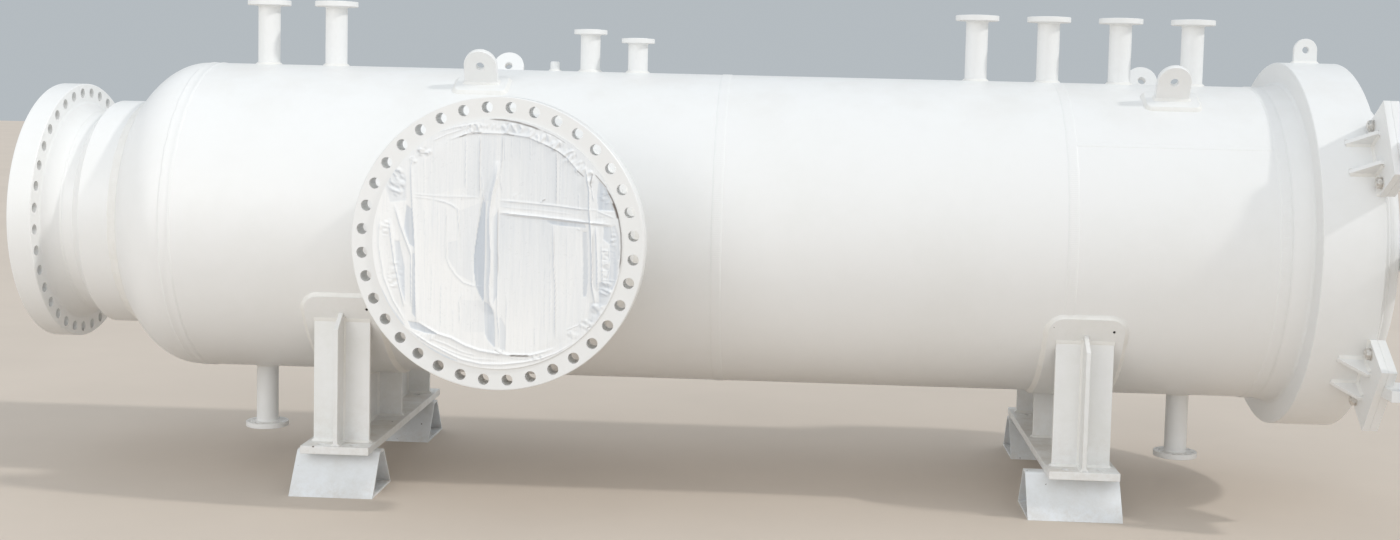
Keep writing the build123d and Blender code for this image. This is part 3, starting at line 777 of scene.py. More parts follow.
# Folds are drawn on a sketch of the cover, 250 units across. Each has its points, then its
# height and its widths to the left and right of its way in millimetres.
sideFolds = [
    (((125.5, 42), (125, 52), (124, 60), (120.4, 74), (118, 90), (117.6, 100), (118.6, 120),
      (119.4, 132), (119.6, 142), (119.2, 153), (118.4, 166), (119, 180), (122.6, 194)),
     11.0, 4.4, 9.0),
    (((114.3, 74), (113.6, 92), (113.3, 120), (113.3, 150), (113.2, 181)), 4.0, 1.8, 2.0),
    (((125.5, 88), (126, 120), (126.2, 157), (126.3, 176), (126.8, 197), (128.3, 208),
      (129.4, 228)), 3.4, 1.6, 2.0),
    (((129.5, 15), (129.3, 40), (127.5, 56), (128.4, 65), (130, 73)), 2.2, 1.8, 2.0),
    (((107.3, 16), (107.2, 50), (107.6, 80)), 3.0, 1.6, 2.4),
    (((109.4, 56), (110.4, 80)), 1.8, 1.5, 1.5), (((135.7, 170), (135.8, 231)), 1.8, 1.5, 1.6),
    (((41, 40), (39, 50), (39.5, 75), (40.5, 92), (42.5, 112), (43.5, 140), (44.5, 180),
      (46, 208)), 5.0, 5.0, 3.0),
    (((22, 88), (28, 108), (35, 126), (39.5, 138), (40, 160), (40.5, 190)), 5.0, 5.0, 2.4),
    (((17, 102), (20, 126), (22.5, 145), (28, 168), (33, 190)), 5.0, 4.5, 2.2),
    (((8, 98), (7.5, 130), (12, 160), (22, 184), (34, 204)), 2.6, 2.5, 2.5),
    (((61, 81.5), (72, 84), (80, 87), (85.5, 91), (86.5, 104), (87, 121)), 2.4, 1.6, 1.8),
    (((40, 80), (52, 80.5), (61, 81.5)), 1.4, 2.0, 2.0),
    (((40, 77), (75, 79), (108, 79)), 1.4, 1.6, 2.6),
    (((93.5, 18), (93.5, 70)), 2.6, 1.6, 2.2), (((91, 76), (89.5, 82)), 1.4, 1.5, 1.5),
    (((51.5, 40), (52, 60), (52.4, 80)), 1.5, 1.5, 1.6),
    (((53, 92), (53.5, 118)), 1.1, 1.4, 1.4), (((66, 88), (66.5, 132)), 0.9, 1.4, 1.4),
    (((74, 89), (74, 120), (74.5, 139), (78, 148), (85, 157), (92.5, 163.5), (102, 166.7),
      (112, 167.6)), 2.2, 1.6, 1.8),
    (((92, 174), (88.4, 183), (88.8, 205)), 1.9, 2.2, 1.6),
    (((69.8, 166), (70.6, 208)), 1.5, 1.3, 1.4), (((60, 140), (60.5, 196)), 1.0, 1.3, 1.4),
    (((82, 190), (82.5, 214)), 1.0, 1.3, 1.3), (((100, 176), (100.5, 216)), 0.8, 1.5, 1.5),
    (((182.6, 31), (183.5, 60), (184, 84)), 3.2, 1.6, 2.0),
    (((187, 33), (187.4, 84)), 1.3, 1.4, 1.5),
    (((181.4, 104), (182, 143), (184, 167), (185, 218)), 3.2, 1.6, 2.2),
    (((178, 122), (179, 160), (180, 212)), 1.3, 1.4, 1.4),
    (((173.5, 128), (174, 208)), 1.1, 1.3, 1.4), (((164, 206), (164.5, 226)), 1.3, 1.4, 1.4),
    (((148.5, 139), (148.6, 158)), 0.8, 1.3, 1.3), (((131.7, 16), (132, 41)), 1.5, 1.3, 1.3),
    (((138.4, 17), (138.4, 38)), 1.2, 1.2, 1.2), (((146.8, 17), (147, 40)), 1.2, 1.3, 1.3),
    (((157, 19), (157.4, 41)), 1.4, 1.3, 1.3), (((206, 72), (206.6, 88)), 1.3, 1.6, 1.3),
    (((195, 108), (195.5, 200)), 0.8, 1.4, 1.4),
    (((127, 81.4), (150, 82.4), (172, 84.3), (186, 85.2), (208, 87.6), (226, 89)),
     3.0, 2.2, 1.6),
    (((127, 87.5), (160, 89.5), (200, 93)), 1.0, 1.6, 1.6),
    (((127, 93.4), (156, 95.4), (184, 98.2), (215, 100.8), (238, 102.6)), 5.5, 3.2, 1.7),
    (((212.5, 46), (213.4, 52), (216.7, 70), (216.9, 88), (218.4, 105), (219, 118),
      (219.6, 134), (220, 160), (224, 182)), 8.0, 4.0, 2.8),
    (((219.6, 51), (218, 60), (216.7, 65), (219, 67.4), (221, 80)), 3.4, 1.6, 1.8),
    (((223.6, 104), (224.6, 124), (225.6, 146), (226.2, 168)), 6.0, 3.0, 4.2),
    (((229.6, 122), (229.9, 140), (231, 162)), 3.0, 1.8, 1.8),
    (((237, 124), (237.3, 142), (235.6, 158), (239, 172)), 3.0, 1.8, 1.8),
    (((229.6, 128), (237, 128.6)), 2.2, 1.4, 1.4), (((229.8, 138.6), (237, 139)), 2.2, 1.4, 1.4),
    (((230, 148), (237, 148.6)), 1.8, 1.4, 1.4), (((230, 157), (243, 158)), 2.6, 1.4, 1.6),
    (((226, 76), (236, 71)), 2.2, 1.5, 1.5), (((225, 90), (241, 96)), 2.0, 1.6, 1.6),
    (((49.6, 25), (58, 18.5), (67, 14), (81, 10), (94, 7.6), (110, 5)), 2.2, 1.6, 1.6),
    (((76.5, 22.8), (86, 19), (94.5, 16), (104, 15.4), (116, 15.6), (128, 15.4), (141, 16.4),
      (155, 18.4), (170, 24.6), (184, 31.4), (193.5, 37.8), (204.5, 49), (211.5, 55)),
     4.0, 4.5, 1.3),
    (((60, 24), (74, 17), (90, 11.5)), 1.6, 1.5, 1.5),
    (((47.7, 204.5), (67, 215.4), (81, 219.4), (95, 226.4), (109, 231), (123, 233), (139, 234.8),
      (159, 234.4), (174, 230.4), (184, 226.6)), 5.0, 2.0, 5.0),
    (((36, 211), (46, 217.5), (60, 226), (76, 233.6), (92, 240.6), (112, 244.6), (132, 244.4),
      (152, 241.5), (170, 237.4), (186, 231), (203, 221)), 3.6, 1.8, 3.4),
    (((61, 221), (76, 226), (92, 233), (106, 236.4)), 1.8, 1.5, 1.8),
    (((66, 227), (84, 234), (104, 239.6), (128, 240.4)), 1.6, 1.4, 1.8),
    (((139, 238), (160, 238.4), (176, 233)), 1.6, 1.4, 1.6),
    (((196, 208), (207, 203), (212, 196)), 2.0, 1.8, 1.5),
    (((172, 78), (170.4, 81), (168, 82)), 3.0, 1.6, 1.6), (((205, 107), (208, 108.6)), 2.2, 1.4, 1.4),
]
# Crumpled places: centre, half sizes and height
sideCrumples = [
    ((24, 64), (10, 17), 5.0), ((51, 35), (9, 4.5), 4.5), ((41, 43), (4.5, 4.5), 3.5),
    ((101, 10.5), (15, 5.5), 4.5), ((119, 10), (8, 4.5), 3.0), ((138, 10), (13, 5.5), 4.5),
    ((156, 14), (8, 5), 3.5), ((169, 19), (9, 6), 4.0), ((182, 26), (8, 6.5), 4.5),
    ((196, 36), (8, 8), 4.5), ((207, 47), (6, 8), 4.0), ((217, 57), (4, 9), 3.5),
    ((233, 75), (6, 10), 2.4), ((234, 166), (7, 9), 4.5), ((226, 187), (7, 8), 3.0),
    ((217, 203), (9, 7), 3.6), ((202, 213), (7, 5), 2.6), ((23, 158), (8, 18), 2.2),
    ((13, 112), (6, 10), 2.4), ((165, 236), (10, 3.5), 2.6), ((56, 219), (11, 4.5), 2.6),
    ((228, 98), (9, 4), 2.2), ((241, 122), (3.5, 16), 2.6), ((146, 77), (6, 4), 1.2),
    ((233, 140), (4, 20), 2.0), ((128, 232), (6, 4), 3.0),
]
# Single layers that hang slack or lie in another tone, and places of painted shade and shadow, such
# as under the tape strips and beside folds: outline, tone, sag, edge softness and, where the tone
# dies away, the points where it starts and ends to do so
sideToneAndShadePanels = [
    (((110.5, 80), (109, 88), (107.5, 100), (104.8, 115), (102.8, 128), (102, 142),
      (102.9, 153), (105, 167), (108, 174), (112, 181.5), (112.8, 181.5), (112.8, 84)),
     1.0, 3.0, 1.4),
    (((113.4, 182), (117.5, 184), (123, 190), (124.5, 207), (125, 227.5), (124, 227.5),
      (117.5, 220.5), (114.8, 215), (113.7, 197)), 0.72, 1.5, 1.6),
    (((121.4, 98), (125.6, 92), (125.8, 176), (122.4, 184)), 0.60, 0.0, 3.0),
    (((114.6, 100), (117, 96), (117.5, 160), (114.6, 182)), 0.30, 0.0, 3.0),
    (((128.8, 198), (130, 197), (135, 206), (135.3, 231), (130.2, 229), (129, 210)),
     0.5, 0.6, 1.6),
    (((127, 17), (156, 19), (183, 31), (184, 84), (127, 81.5)), 0.50, 0.0, 1.6,
     (170, 30), (60, 110)),
    (((188, 33), (210, 54), (215, 87), (187, 85)), 0.44, 0.0, 1.6, (190, 60), (150, 200)),
    (((126.6, 94.5), (156, 96.5), (181, 99), (181.6, 150), (183.6, 218), (127.6, 226)),
     0.52, 0.0, 1.6, (160, 96), (150, 215)),
    (((187, 105), (210, 107), (209, 150), (200, 190), (187, 196)), 0.34, 0.0, 5.0,
     (200, 100), (190, 215)),
    (((173, 99.5), (212, 101.8), (214, 106), (196, 105.5), (180, 104)), 0.95, 0.8, 1.8),
    (((127, 82), (184, 85.4), (215, 88.4), (217, 94), (184, 91), (127, 88)), 0.42, 0.0, 2.0),
    (((94.5, 17), (105.5, 16.5), (106.5, 79), (94.5, 79)), 0.34, 0.0, 1.4),
    (((108, 17), (124.5, 17), (122, 60), (117, 82), (110, 82)), 0.44, 0.0, 1.4),
    (((53, 42), (93, 20), (93, 70), (53, 79)), 0.22, 0.0, 3.0),
    (((87.5, 92), (108, 84), (103.5, 116), (101.5, 140), (102, 163), (87, 156), (76, 140),
      (76, 124), (87.5, 121)), 0.28, 0.0, 2.0),
    (((89.5, 181), (112, 181), (114, 196), (113.5, 213), (90.5, 213)), 0.24, 0.0, 2.0,
     (112, 190), (78, 200)),
    (((34, 88), (39.5, 92), (42, 112), (42.5, 130), (37.5, 127), (32, 112)), 0.85, 1.4, 1.6),
    (((41, 136), (43.2, 136), (44.5, 200), (41.2, 196), (40.4, 160)), 0.80, 1.2, 1.4),
    (((22.5, 124), (27.5, 124), (33, 150), (34, 186), (28.5, 168), (24.5, 148)), 0.62, 1.4, 2.0),
    (((14, 56), (24, 50), (34, 60), (34, 84), (18, 86), (13, 72)), 0.40, 0.6, 4.0),
    (((225.4, 59), (232, 65), (237.4, 77), (241, 89), (225.4, 88.6), (224, 74.5)), 1.0, 2.6, 1.4),
    (((231, 104), (238, 104), (241, 122), (240, 140), (238, 122), (231, 117)), 0.95, 2.0, 1.6),
    (((237.6, 122), (241, 121), (245.6, 139), (245.6, 154), (241, 166), (235, 172),
      (236.4, 157), (237.6, 143)), 0.95, 2.0, 1.6),
    (((239, 104), (242, 103), (246.4, 114), (247.4, 136), (243, 138)), 0.80, 1.4, 1.6),
    (((226.7, 160), (234, 158.5), (240, 168), (236, 181), (228, 184)), 0.70, 1.0, 2.4),
    (((210.7, 110), (215.2, 110), (216, 143), (216.4, 159), (215, 174), (211.6, 174)),
     0.85, 1.6, 1.6),
    (((218, 180), (232, 178), (226, 198), (216, 202)), 0.45, 0.6, 3.0),
    (((37, 204), (47.5, 205), (64.5, 214.3), (67, 216.5), (56, 215.4), (40, 211)), 0.85, 1.6, 1.8),
    (((37.5, 215), (47.7, 222.7), (59, 229.2), (72, 235.7), (90, 243), (76, 240.5),
      (60, 233.4), (45, 223.6)), 0.70, 1.0, 2.0),
    (((4, 160), (7, 166), (18.8, 188), (34.5, 209), (29, 206.6), (14, 188), (5, 172)),
     0.60, 0.8, 2.0),
    (((128, 17), (157, 19.5), (157, 12), (128, 6)), 0.45, 0.4, 2.0),
]
# Painted shadow in the open gaps at the edge and in sharp creases: points, half width and strength
sideGapShadows = [
    (((116, 1.3), (129, 1.6), (142, 3.4), (156, 7.2), (168, 11.5)), 0.80, 0.85),
    (((168, 11.5), (180, 16.5), (192, 24)), 0.5, 0.35),
    (((221.4, 53), (226.7, 58.5), (234, 66.5)), 0.55, 0.6),
    (((232, 64), (238.7, 77), (243, 87), (246, 98.5), (248.2, 110.5), (248.8, 124),
      (248.4, 137), (247, 149)), 0.75, 0.9),
    (((239.6, 80), (243, 88.6), (245.4, 97)), 1.5, 1.0),
    (((139, 235.4), (150, 235.4), (159, 235)), 0.8, 0.9), (((124, 230), (133, 234.4)), 0.5, 0.45),
    (((86, 19.6), (94, 16.8)), 0.5, 0.6), (((44, 33), (48, 36.5), (56, 37)), 0.6, 0.45),
    (((98, 14.6), (109, 15.4)), 0.6, 0.55), (((130, 15), (141, 17)), 0.6, 0.55),
    (((170, 25.2), (184, 32), (193, 38.4)), 0.5, 0.4), (((204, 49.4), (211, 55.6)), 0.55, 0.5),
    (((219.4, 52), (217.4, 63), (218.8, 67)), 0.55, 0.55),
    (((216, 205.5), (219, 204.5)), 0.7, 0.5), (((170, 80.6), (173, 79)), 0.6, 0.5),
    (((125.4, 86), (126.2, 110), (126.4, 157)), 0.5, 0.36),
    (((107.6, 17), (107.4, 79)), 0.45, 0.22), (((129.6, 15), (129.4, 40), (127.7, 56)), 0.45, 0.16),
    (((127, 95), (184, 99.8), (237, 104)), 0.5, 0.26), (((182.6, 32), (184.2, 84)), 0.45, 0.18),
    (((182, 105), (182.6, 143), (184.6, 167), (185.4, 218)), 0.45, 0.16),
    (((74.4, 89), (74.4, 120), (75, 139)), 0.4, 0.10), (((220.2, 112), (220.4, 168)), 0.5, 0.26),
    (((40, 77.6), (108, 79.6)), 0.4, 0.09), (((82, 87), (87, 92), (87.6, 120)), 0.4, 0.14),
]
endFolds = [
    (((88, 16), (90, 100), (84, 175), (87, 232)), 7.5, 9.0, 4.0),
    (((152, 13), (156, 88), (150, 150), (155, 234)), 4.5, 4.0, 7.0),
    (((16, 105), (88, 110), (150, 104), (237, 112)), 5.0, 4.0, 2.5),
    (((45, 43), (43, 125), (48, 210)), 6.0, 5.5, 3.0),
    (((202, 38), (205, 112), (200, 212)), 5.5, 3.5, 5.0),
    (((112, 16), (115, 94)), 2.2, 2.0, 2.0), (((181, 26), (180, 100)), 2.2, 2.0, 2.0),
    (((131, 137), (130, 232)), 2.2, 2.0, 2.0), (((66, 120), (67, 220)), 1.6, 2.0, 2.0),
    (((50, 212), (100, 234), (162, 232), (202, 210)), 4.0, 2.2, 4.5),
    (((40, 44), (76, 22), (125, 14), (176, 24), (212, 52)), 2.8, 3.5, 1.5),
]
endCrumples = [
    ((60, 32), (14, 8), 4.5), ((110, 10), (16, 5.5), 4.0), ((142, 10), (16, 5.5), 4.5),
    ((190, 34), (14, 9), 4.5), ((228, 90), (7, 18), 4.0), ((22, 88), (8, 18), 4.0),
    ((226, 170), (8, 15), 3.0), ((60, 224), (15, 6), 3.0), ((180, 226), (15, 6), 3.0),
]
endToneAndShadePanels = [
    (((80, 62), (76, 96), (71, 130), (73, 160), (80, 192), (84, 170), (85.6, 120), (84, 85)),
     0.85, 2.6, 1.6),
    (((157, 24), (180, 28), (179, 102), (157, 100)), 0.42, 0.0, 1.6, (170, 24), (166, 150)),
    (((203, 62), (222, 66), (233, 88), (240, 112), (236, 146), (224, 170), (214, 150),
      (205, 110)), 0.75, 2.0, 2.4),
    (((92, 18), (113, 16), (115, 102), (92, 106)), 0.38, 0.0, 1.6, (100, 18), (96, 140)),
    (((20, 118), (40, 112), (44, 140), (44, 190), (30, 172), (22, 146)), 0.55, 1.2, 2.6),
    (((132, 112), (155, 108), (153, 160), (154, 230), (131, 232)), 0.30, 0.0, 1.6,
     (145, 110), (140, 230)),
]
endGapShadows = [(((224, 52), (239, 84), (247, 118), (244, 156)), 1.1, 0.9)]


def sketched(points):
    return np.array([((x - 125) / 124.5, (125 - y) / 124.5) for x, y in points])


# Flat facets between sharp ridges that run mostly towards the rim
def crumpleLift(u, v, places, radius, seed):
    chance = np.random.default_rng(seed)
    lift = np.zeros_like(u)
    unit = radius / 124.5
    for centre, (halfWide, halfHigh), height in places:
        (middleU, middleV), = sketched([centre]) * radius
        far = np.hypot((u - middleU) / (halfWide * unit), (v - middleV) / (halfHigh * unit))
        around = math.atan2(middleV, middleU) + math.pi / 2
        waves = []
        for _ in range(5):
            length, turn = chance.uniform(0.014, 0.042), around + chance.uniform(-0.75, 0.75)
            along = (u * math.cos(turn) + v * math.sin(turn)) / length + chance.uniform(0, 1)
            waves.append(length / 0.030 * (np.abs(2 * (along % 1) - 1) - 0.5))
        facets = np.maximum(sum(waves[:3]), sum(waves[3:]))
        lift += 0.001 * height * np.clip((1 - far) / 0.3, 0, 1) * facets
    return lift


# Distance to a drawn line, the side it is on and the share of the line there
def lineDistance(u, v, line):
    best = np.full_like(u, 9.0)
    signed = np.zeros_like(u)
    share = np.zeros_like(u)
    lengths = np.linalg.norm(np.diff(line, axis=0), axis=1)
    gone = 0.0
    for (startU, startV), (endU, endV), length in zip(line, line[1:], lengths):
        wayU, wayV = (endU - startU) / length, (endV - startV) / length
        along = np.clip((u - startU) * wayU + (v - startV) * wayV, 0, length)
        awayU, awayV = u - startU - along * wayU, v - startV - along * wayV
        distance = np.hypot(awayU, awayV)
        closer = distance < best
        best = np.where(closer, distance, best)
        signed = np.where(closer, awayV * wayU - awayU * wayV, signed)
        share = np.where(closer, (gone + along) / lengths.sum(), share)
        gone += length
    return best, signed, share


def foldLift(u, v, folds, radius):
    lift = np.zeros_like(u)
    for points, height, leftWidth, rightWidth in folds:
        line = sketched(points) * radius
        reach = 0.006 * max(leftWidth, rightWidth, 1.5)
        low, high = line.min(axis=0) - reach, line.max(axis=0) + reach
        near = (u > low[0]) & (u < high[0]) & (v > low[1]) & (v < high[1])
        best, signed, share = lineDistance(u[near], v[near], line)
        width = np.where(signed > 0, leftWidth, rightWidth) * 0.001
        taper = np.clip(np.minimum(share, 1 - share) / 0.12, 0, 1) ** 0.7
        shape = np.exp(-(best / width) ** 1.25) * (1 - np.clip(best / reach, 0, 1) ** 4)
        lift[near] += 0.001 * height * taper * shape
    return lift


# 1 inside an outline and 0 outside, with an edge soft millimetres wide
def panelShare(u, v, points, radius, soft, *fade):
    line = sketched(points + points[:1]) * radius
    best, _, _ = lineDistance(u, v, line)
    inside = np.zeros(u.shape, dtype=bool)
    for (startU, startV), (endU, endV) in zip(line, line[1:]):
        crosses = (startV > v) != (endV > v)
        rise = endV - startV if abs(endV - startV) > 1e-9 else 1e-9
        inside ^= crosses & (u < startU + (endU - startU) * (v - startV) / rise)
    signed = np.where(inside, best, -best)
    share = np.clip(0.5 + signed / (0.001 * soft), 0, 1)
    if fade:
        (startU, startV), (endU, endV) = sketched(fade) * radius
        wayU, wayV = endU - startU, endV - startV
        along = ((u - startU) * wayU + (v - startV) * wayV) / (wayU ** 2 + wayV ** 2)
        share = share * np.clip(1 - along, 0, 1)
    return share


def gapShadowShare(u, v, gapShadowLines, radius):
    dark = np.zeros_like(u)
    for points, width, strength in gapShadowLines:
        best, _, share = lineDistance(u, v, sketched(points) * radius)
        taper = np.clip(np.minimum(share, 1 - share) / 0.10, 0, 1)
        width = 0.001 * width * 3.4 * (0.55 + 0.45 * taper)
        dark = np.maximum(dark, strength * (0.2 + 0.8 * taper) * np.exp(-(best / width) ** 4))
    return dark


def noiseOver(u, v, scaleU, scaleV, seed):
    flat = zip((u * scaleU).ravel().tolist(), (v * scaleV).ravel().tolist())
    values = [noise.noise(Vector((a, b, seed))) for a, b in flat]
    return np.array(values).reshape(u.shape)


def filmMaterial():
    material = bpy.data.materials.new("coverFilm")
    material.use_nodes = True
    tree = material.node_tree
    shader = tree.nodes["Principled BSDF"]
    # the tone attribute mixes the film towards bluish grey: single film layers, painted shade on
    # slopes away from the sun and painted shadow in some panels
    layer = put(tree, "ShaderNodeAttribute", attribute_name="layerToneAndShade").outputs["Fac"]
    color = mixColor(tree, layer, filmCover["white"], filmCover["singleLayerAndShade"])
    place = put(tree, "ShaderNodeTexCoord").outputs["Object"]
    stretched = put(tree, "ShaderNodeVectorMath", {1: (240.0, 240.0, 9.0)}, {0: place},
                    operation="MULTIPLY").outputs[0]
    streak = noiseAt(tree, stretched, 1.0, 3.0)
    crinkle = noiseAt(tree, place, 60.0, 4.0, 0.65)
    color = mixColor(tree, mathOf(tree, "MULTIPLY", ramp(tree, streak, 0.45, 0.75), 0.16), color,
                     filmCover["singleLayerAndShade"])
    # painted shadow along the gaps at the edge and in sharp creases
    gapShadow = put(tree, "ShaderNodeAttribute", attribute_name="gapShadow").outputs["Fac"]
    color = mixColor(tree, gapShadow, color, filmCover["gapShadow"])
    tree.links.new(color, shader.inputs["Base Color"])
    tree.links.new(ramp(tree, crinkle, 0.3, 0.7, filmCover["roughness"] - 0.08,
                        filmCover["roughness"] + 0.14), shader.inputs["Roughness"])
    height = mathOf(tree, "ADD", mathOf(tree, "MULTIPLY", streak, 0.0003),
                    mathOf(tree, "MULTIPLY", crinkle, 0.0006))
    bump = put(tree, "ShaderNodeBump", {"Strength": 0.8, "Distance": 1.0}, {"Height": height})
    tree.links.new(bump.outputs["Normal"], shader.inputs["Normal"])
    shader.inputs["Coat Weight"].default_value = 0.25
    shader.inputs["Coat Roughness"].default_value = 0.25
    return material


coverMaterial = filmMaterial()


# The film lies on the flange face and bulges away from it
def makeFilm(node, folds, crumples, toneAndShadePanels, gapShadowLines, grid, seed):
    spec = filmCover
    radius = spec["radius"] - 0.001
    steps = np.linspace(-1, 1, grid + 1)
    squareU, squareV = np.meshgrid(steps, steps)
    u = radius * squareU * np.sqrt(1 - squareV ** 2 / 2)
    v = radius * squareV * np.sqrt(1 - squareU ** 2 / 2)
    out = np.hypot(u, v) / radius
    settle = np.clip((1 - out) / 0.03, 0, 1)
    inner = np.clip((0.93 - out) / 0.05, 0, 1)
    drawnU = u + spec["wander"] * noiseOver(u, v, 11.0, 8.0, seed + 11)
    drawnV = v + spec["wander"] * noiseOver(u, v, 8.0, 13.0, seed + 17)
    streaks = noiseOver(u, v, 95.0, 5.0, seed) + 0.6 * noiseOver(u, v, 190.0, 9.0, seed + 3)
    billow = noiseOver(u, v, 9.0, 5.0, seed + 7)
    first, second = [
        foldLift(drawnU + lean * 0.78, drawnV + lean * 0.62, folds, radius)
        + crumpleLift(drawnU + lean * 0.78, drawnV + lean * 0.62, crumples, radius, int(seed))
        for lean in (-spec["lean"], spec["lean"])]
    slope = (second - first) / (2 * spec["lean"])
    height = (first + second) / 2 * (0.25 + 0.75 * settle)
    height += inner * (spec["streakHeight"] * streaks + spec["billowHeight"] * (billow + 0.3))
    # greyer towards the upper right, along the streaks and where the film billows
    filmToneAndShade = 0.16 * (u + v) / radius + 0.12 + 0.10 * streaks + 0.12 * billow
    # panel tones are single layers and painted shade or shadow
    for points, tone, sag, soft, *fade in toneAndShadePanels:
        share = panelShare(drawnU, drawnV, points, radius, soft, *fade)
        filmToneAndShade = np.maximum(filmToneAndShade, share * tone * (0.88 + 0.25 * streaks + 0.3 * billow))
        if sag:
            layerToneAndShade = panelShare(drawnU, drawnV, points, radius, max(6.0, soft))
            height -= 0.001 * sag * layerToneAndShade * settle
    # painted shade darkens slopes that face away from the sun, and painted highlight lightens slopes
    # that face it
    filmToneAndShade = filmToneAndShade * (1 - 0.8 * np.clip(-slope, 0, 1)) + spec["shadeShare"] * np.clip(slope, 0, 1)
    gapShadow = gapShadowShare(drawnU, drawnV, gapShadowLines, radius)
    height = np.maximum(spec["thickness"] * 0.85 + height, 0.0008)
    filmToneAndShade = np.clip(filmToneAndShade, 0, 1)
    low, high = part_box(node)
    centre = (low + high) / 2
    if node.startswith("side"):
        base = high.y
        place = [(centre.x + a, base - h, centre.z + b)
                 for a, b, h in zip(u.ravel(), v.ravel(), height.ravel())]
        back = [(x, base - 0.0002, z) for x, y, z in place]
    else:
        base = high.x
        place = [(base - h, centre.y - a, centre.z + b)
                 for a, b, h in zip(u.ravel(), v.ravel(), height.ravel())]
        back = [(base - 0.0002, y, z) for x, y, z in place]
    side = grid + 1
    faces = [(r * side + c, r * side + c + 1, (r + 1) * side + c + 1, (r + 1) * side + c)
             for r in range(grid) for c in range(grid)]
    rim = ([c for c in range(grid)] + [r * side + grid for r in range(grid)]
           + [grid * side + c for c in range(grid, 0, -1)]
           + [r * side for r in range(grid, 0, -1)])
    points = place + [back[i] for i in rim]
    count = len(rim)
    start = len(place)
    faces += [(rim[i], rim[(i + 1) % count], start + (i + 1) % count, start + i)
              for i in range(count)]
    faces.append(tuple(range(start, start + count)))
    piece = finishMesh(node.replace("cover", "film"), points, faces, coverMaterial, 60.0)
    for name, values in (("layerToneAndShade", filmToneAndShade), ("gapShadow", gapShadow)):
        layer = piece.data.attributes.new(name, "FLOAT", "POINT")
        layer.data.foreach_set("value", list(values.ravel()) + [0.0] * count)
    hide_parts(node)
    return piece


makeFilm("side_nozzle_cover", sideFolds, sideCrumples, sideToneAndShadePanels, sideGapShadows,
         filmCover["gridSide"], 2.5)
makeFilm("end_nozzle_cover", endFolds, endCrumples, endToneAndShadePanels, endGapShadows, filmCover["gridEnd"],
         8.5)
print("films ready")


# Nuts and studs that hold the hinge blocks to the brackets

hingeBolt = {
    "acrossFlats": 0.036, "nutHeight": 0.0145, "studRadius": 0.012, "studReach": 0.0215,
    "washerRadius": 0.022, "washerHeight": 0.0035, "radius": 0.712, "offset": 0.112,
    "color": (0.80, 0.78, 0.75, 1), "shade": (0.47, 0.42, 0.36, 1), "roughness": 0.34,
}


# a dark disc of painted shade in each vent hole
ventHoleShade = {"shift": 0.096, "side": 0.5135, "drop": 0.290, "radius": 0.0049,
            "thickness": 0.0090}


def zincMaterial():
    material = bpy.data.materials.new("zincPlate")
    material.use_nodes = True
    tree = material.node_tree
    shader = tree.nodes["Principled BSDF"]
    tone = put(tree, "ShaderNodeGroup", node_tree=toneGroup)
    tone.inputs["Color"].default_value = hingeBolt["color"]
    tone.inputs["Shade"].default_value = hingeBolt["shade"]
    tone.inputs["Amount"].default_value = 0.5
    tone.inputs["Patch Size"].default_value = 0.012
    tree.links.new(tone.outputs["Color"], shader.inputs["Base Color"])
    tree.links.new(mathOf(tree, "ADD", hingeBolt["roughness"], mathOf(
        tree, "MULTIPLY", tone.outputs["Mask"], 0.35)), shader.inputs["Roughness"])
    shader.inputs["Metallic"].default_value = 0.9
    return material


zinc = zincMaterial()


# Turns (height, radius) pairs round axis; radiusAt shapes each ring
def addTurned(points, faces, centre, axis, first, profile, count, radiusAt=None):
    cross = axis.cross(first)
    start = len(points)
    for height, radius in profile:
        for i in range(count):
            angle = math.tau * i / count
            reach = radiusAt(angle, radius) if radiusAt else radius
            outward = first * math.cos(angle) + cross * math.sin(angle)
            points.append(centre + axis * height + outward * reach)
    for row in range(len(profile) - 1):
        for i in range(count):
            k = (i + 1) % count
            low = start + row * count
            faces.append((low + i, low + k, low + count + k, low + count + i))
    faces.append(tuple(start + i for i in reversed(range(count))))
    last = start + (len(profile) - 1) * count
    faces.append(tuple(last + i for i in range(count)))


# Radius of a hexagon, no further out than its chamfer circle
def hexRadius(flats, chamfer):
    def reach(angle, limit):
        turn = (angle + math.pi / 6) % (math.pi / 3) - math.pi / 6
        return min(flats / 2 / math.cos(turn), limit)
    return reach


# A near-black disc a little way down the vent hole of each wear plate, painted shade that makes the
# hole read dark
def makeVentHoleShades():
    spec = ventHoleShade
    points, faces = [], []
    for station in vessel["saddleStations"]:
        centre = at(station + spec["shift"], -spec["side"], -spec["drop"])
        addTurned(points, faces, centre, Vector((0, -1, 0)), right, [
            (0.0, spec["radius"]), (spec["thickness"], spec["radius"] - 0.0005)], 20)
    ventShadeFinish = bpy.data.materials.new("ventShadeFinish")
    ventShadeFinish.use_nodes = True
    shader = ventShadeFinish.node_tree.nodes["Principled BSDF"]
    shader.inputs["Base Color"].default_value = (0.012, 0.011, 0.010, 1)
    shader.inputs["Roughness"].default_value = 0.55
    finishMesh("vent_hole_painted_shade", points, faces, ventShadeFinish, 35.0)


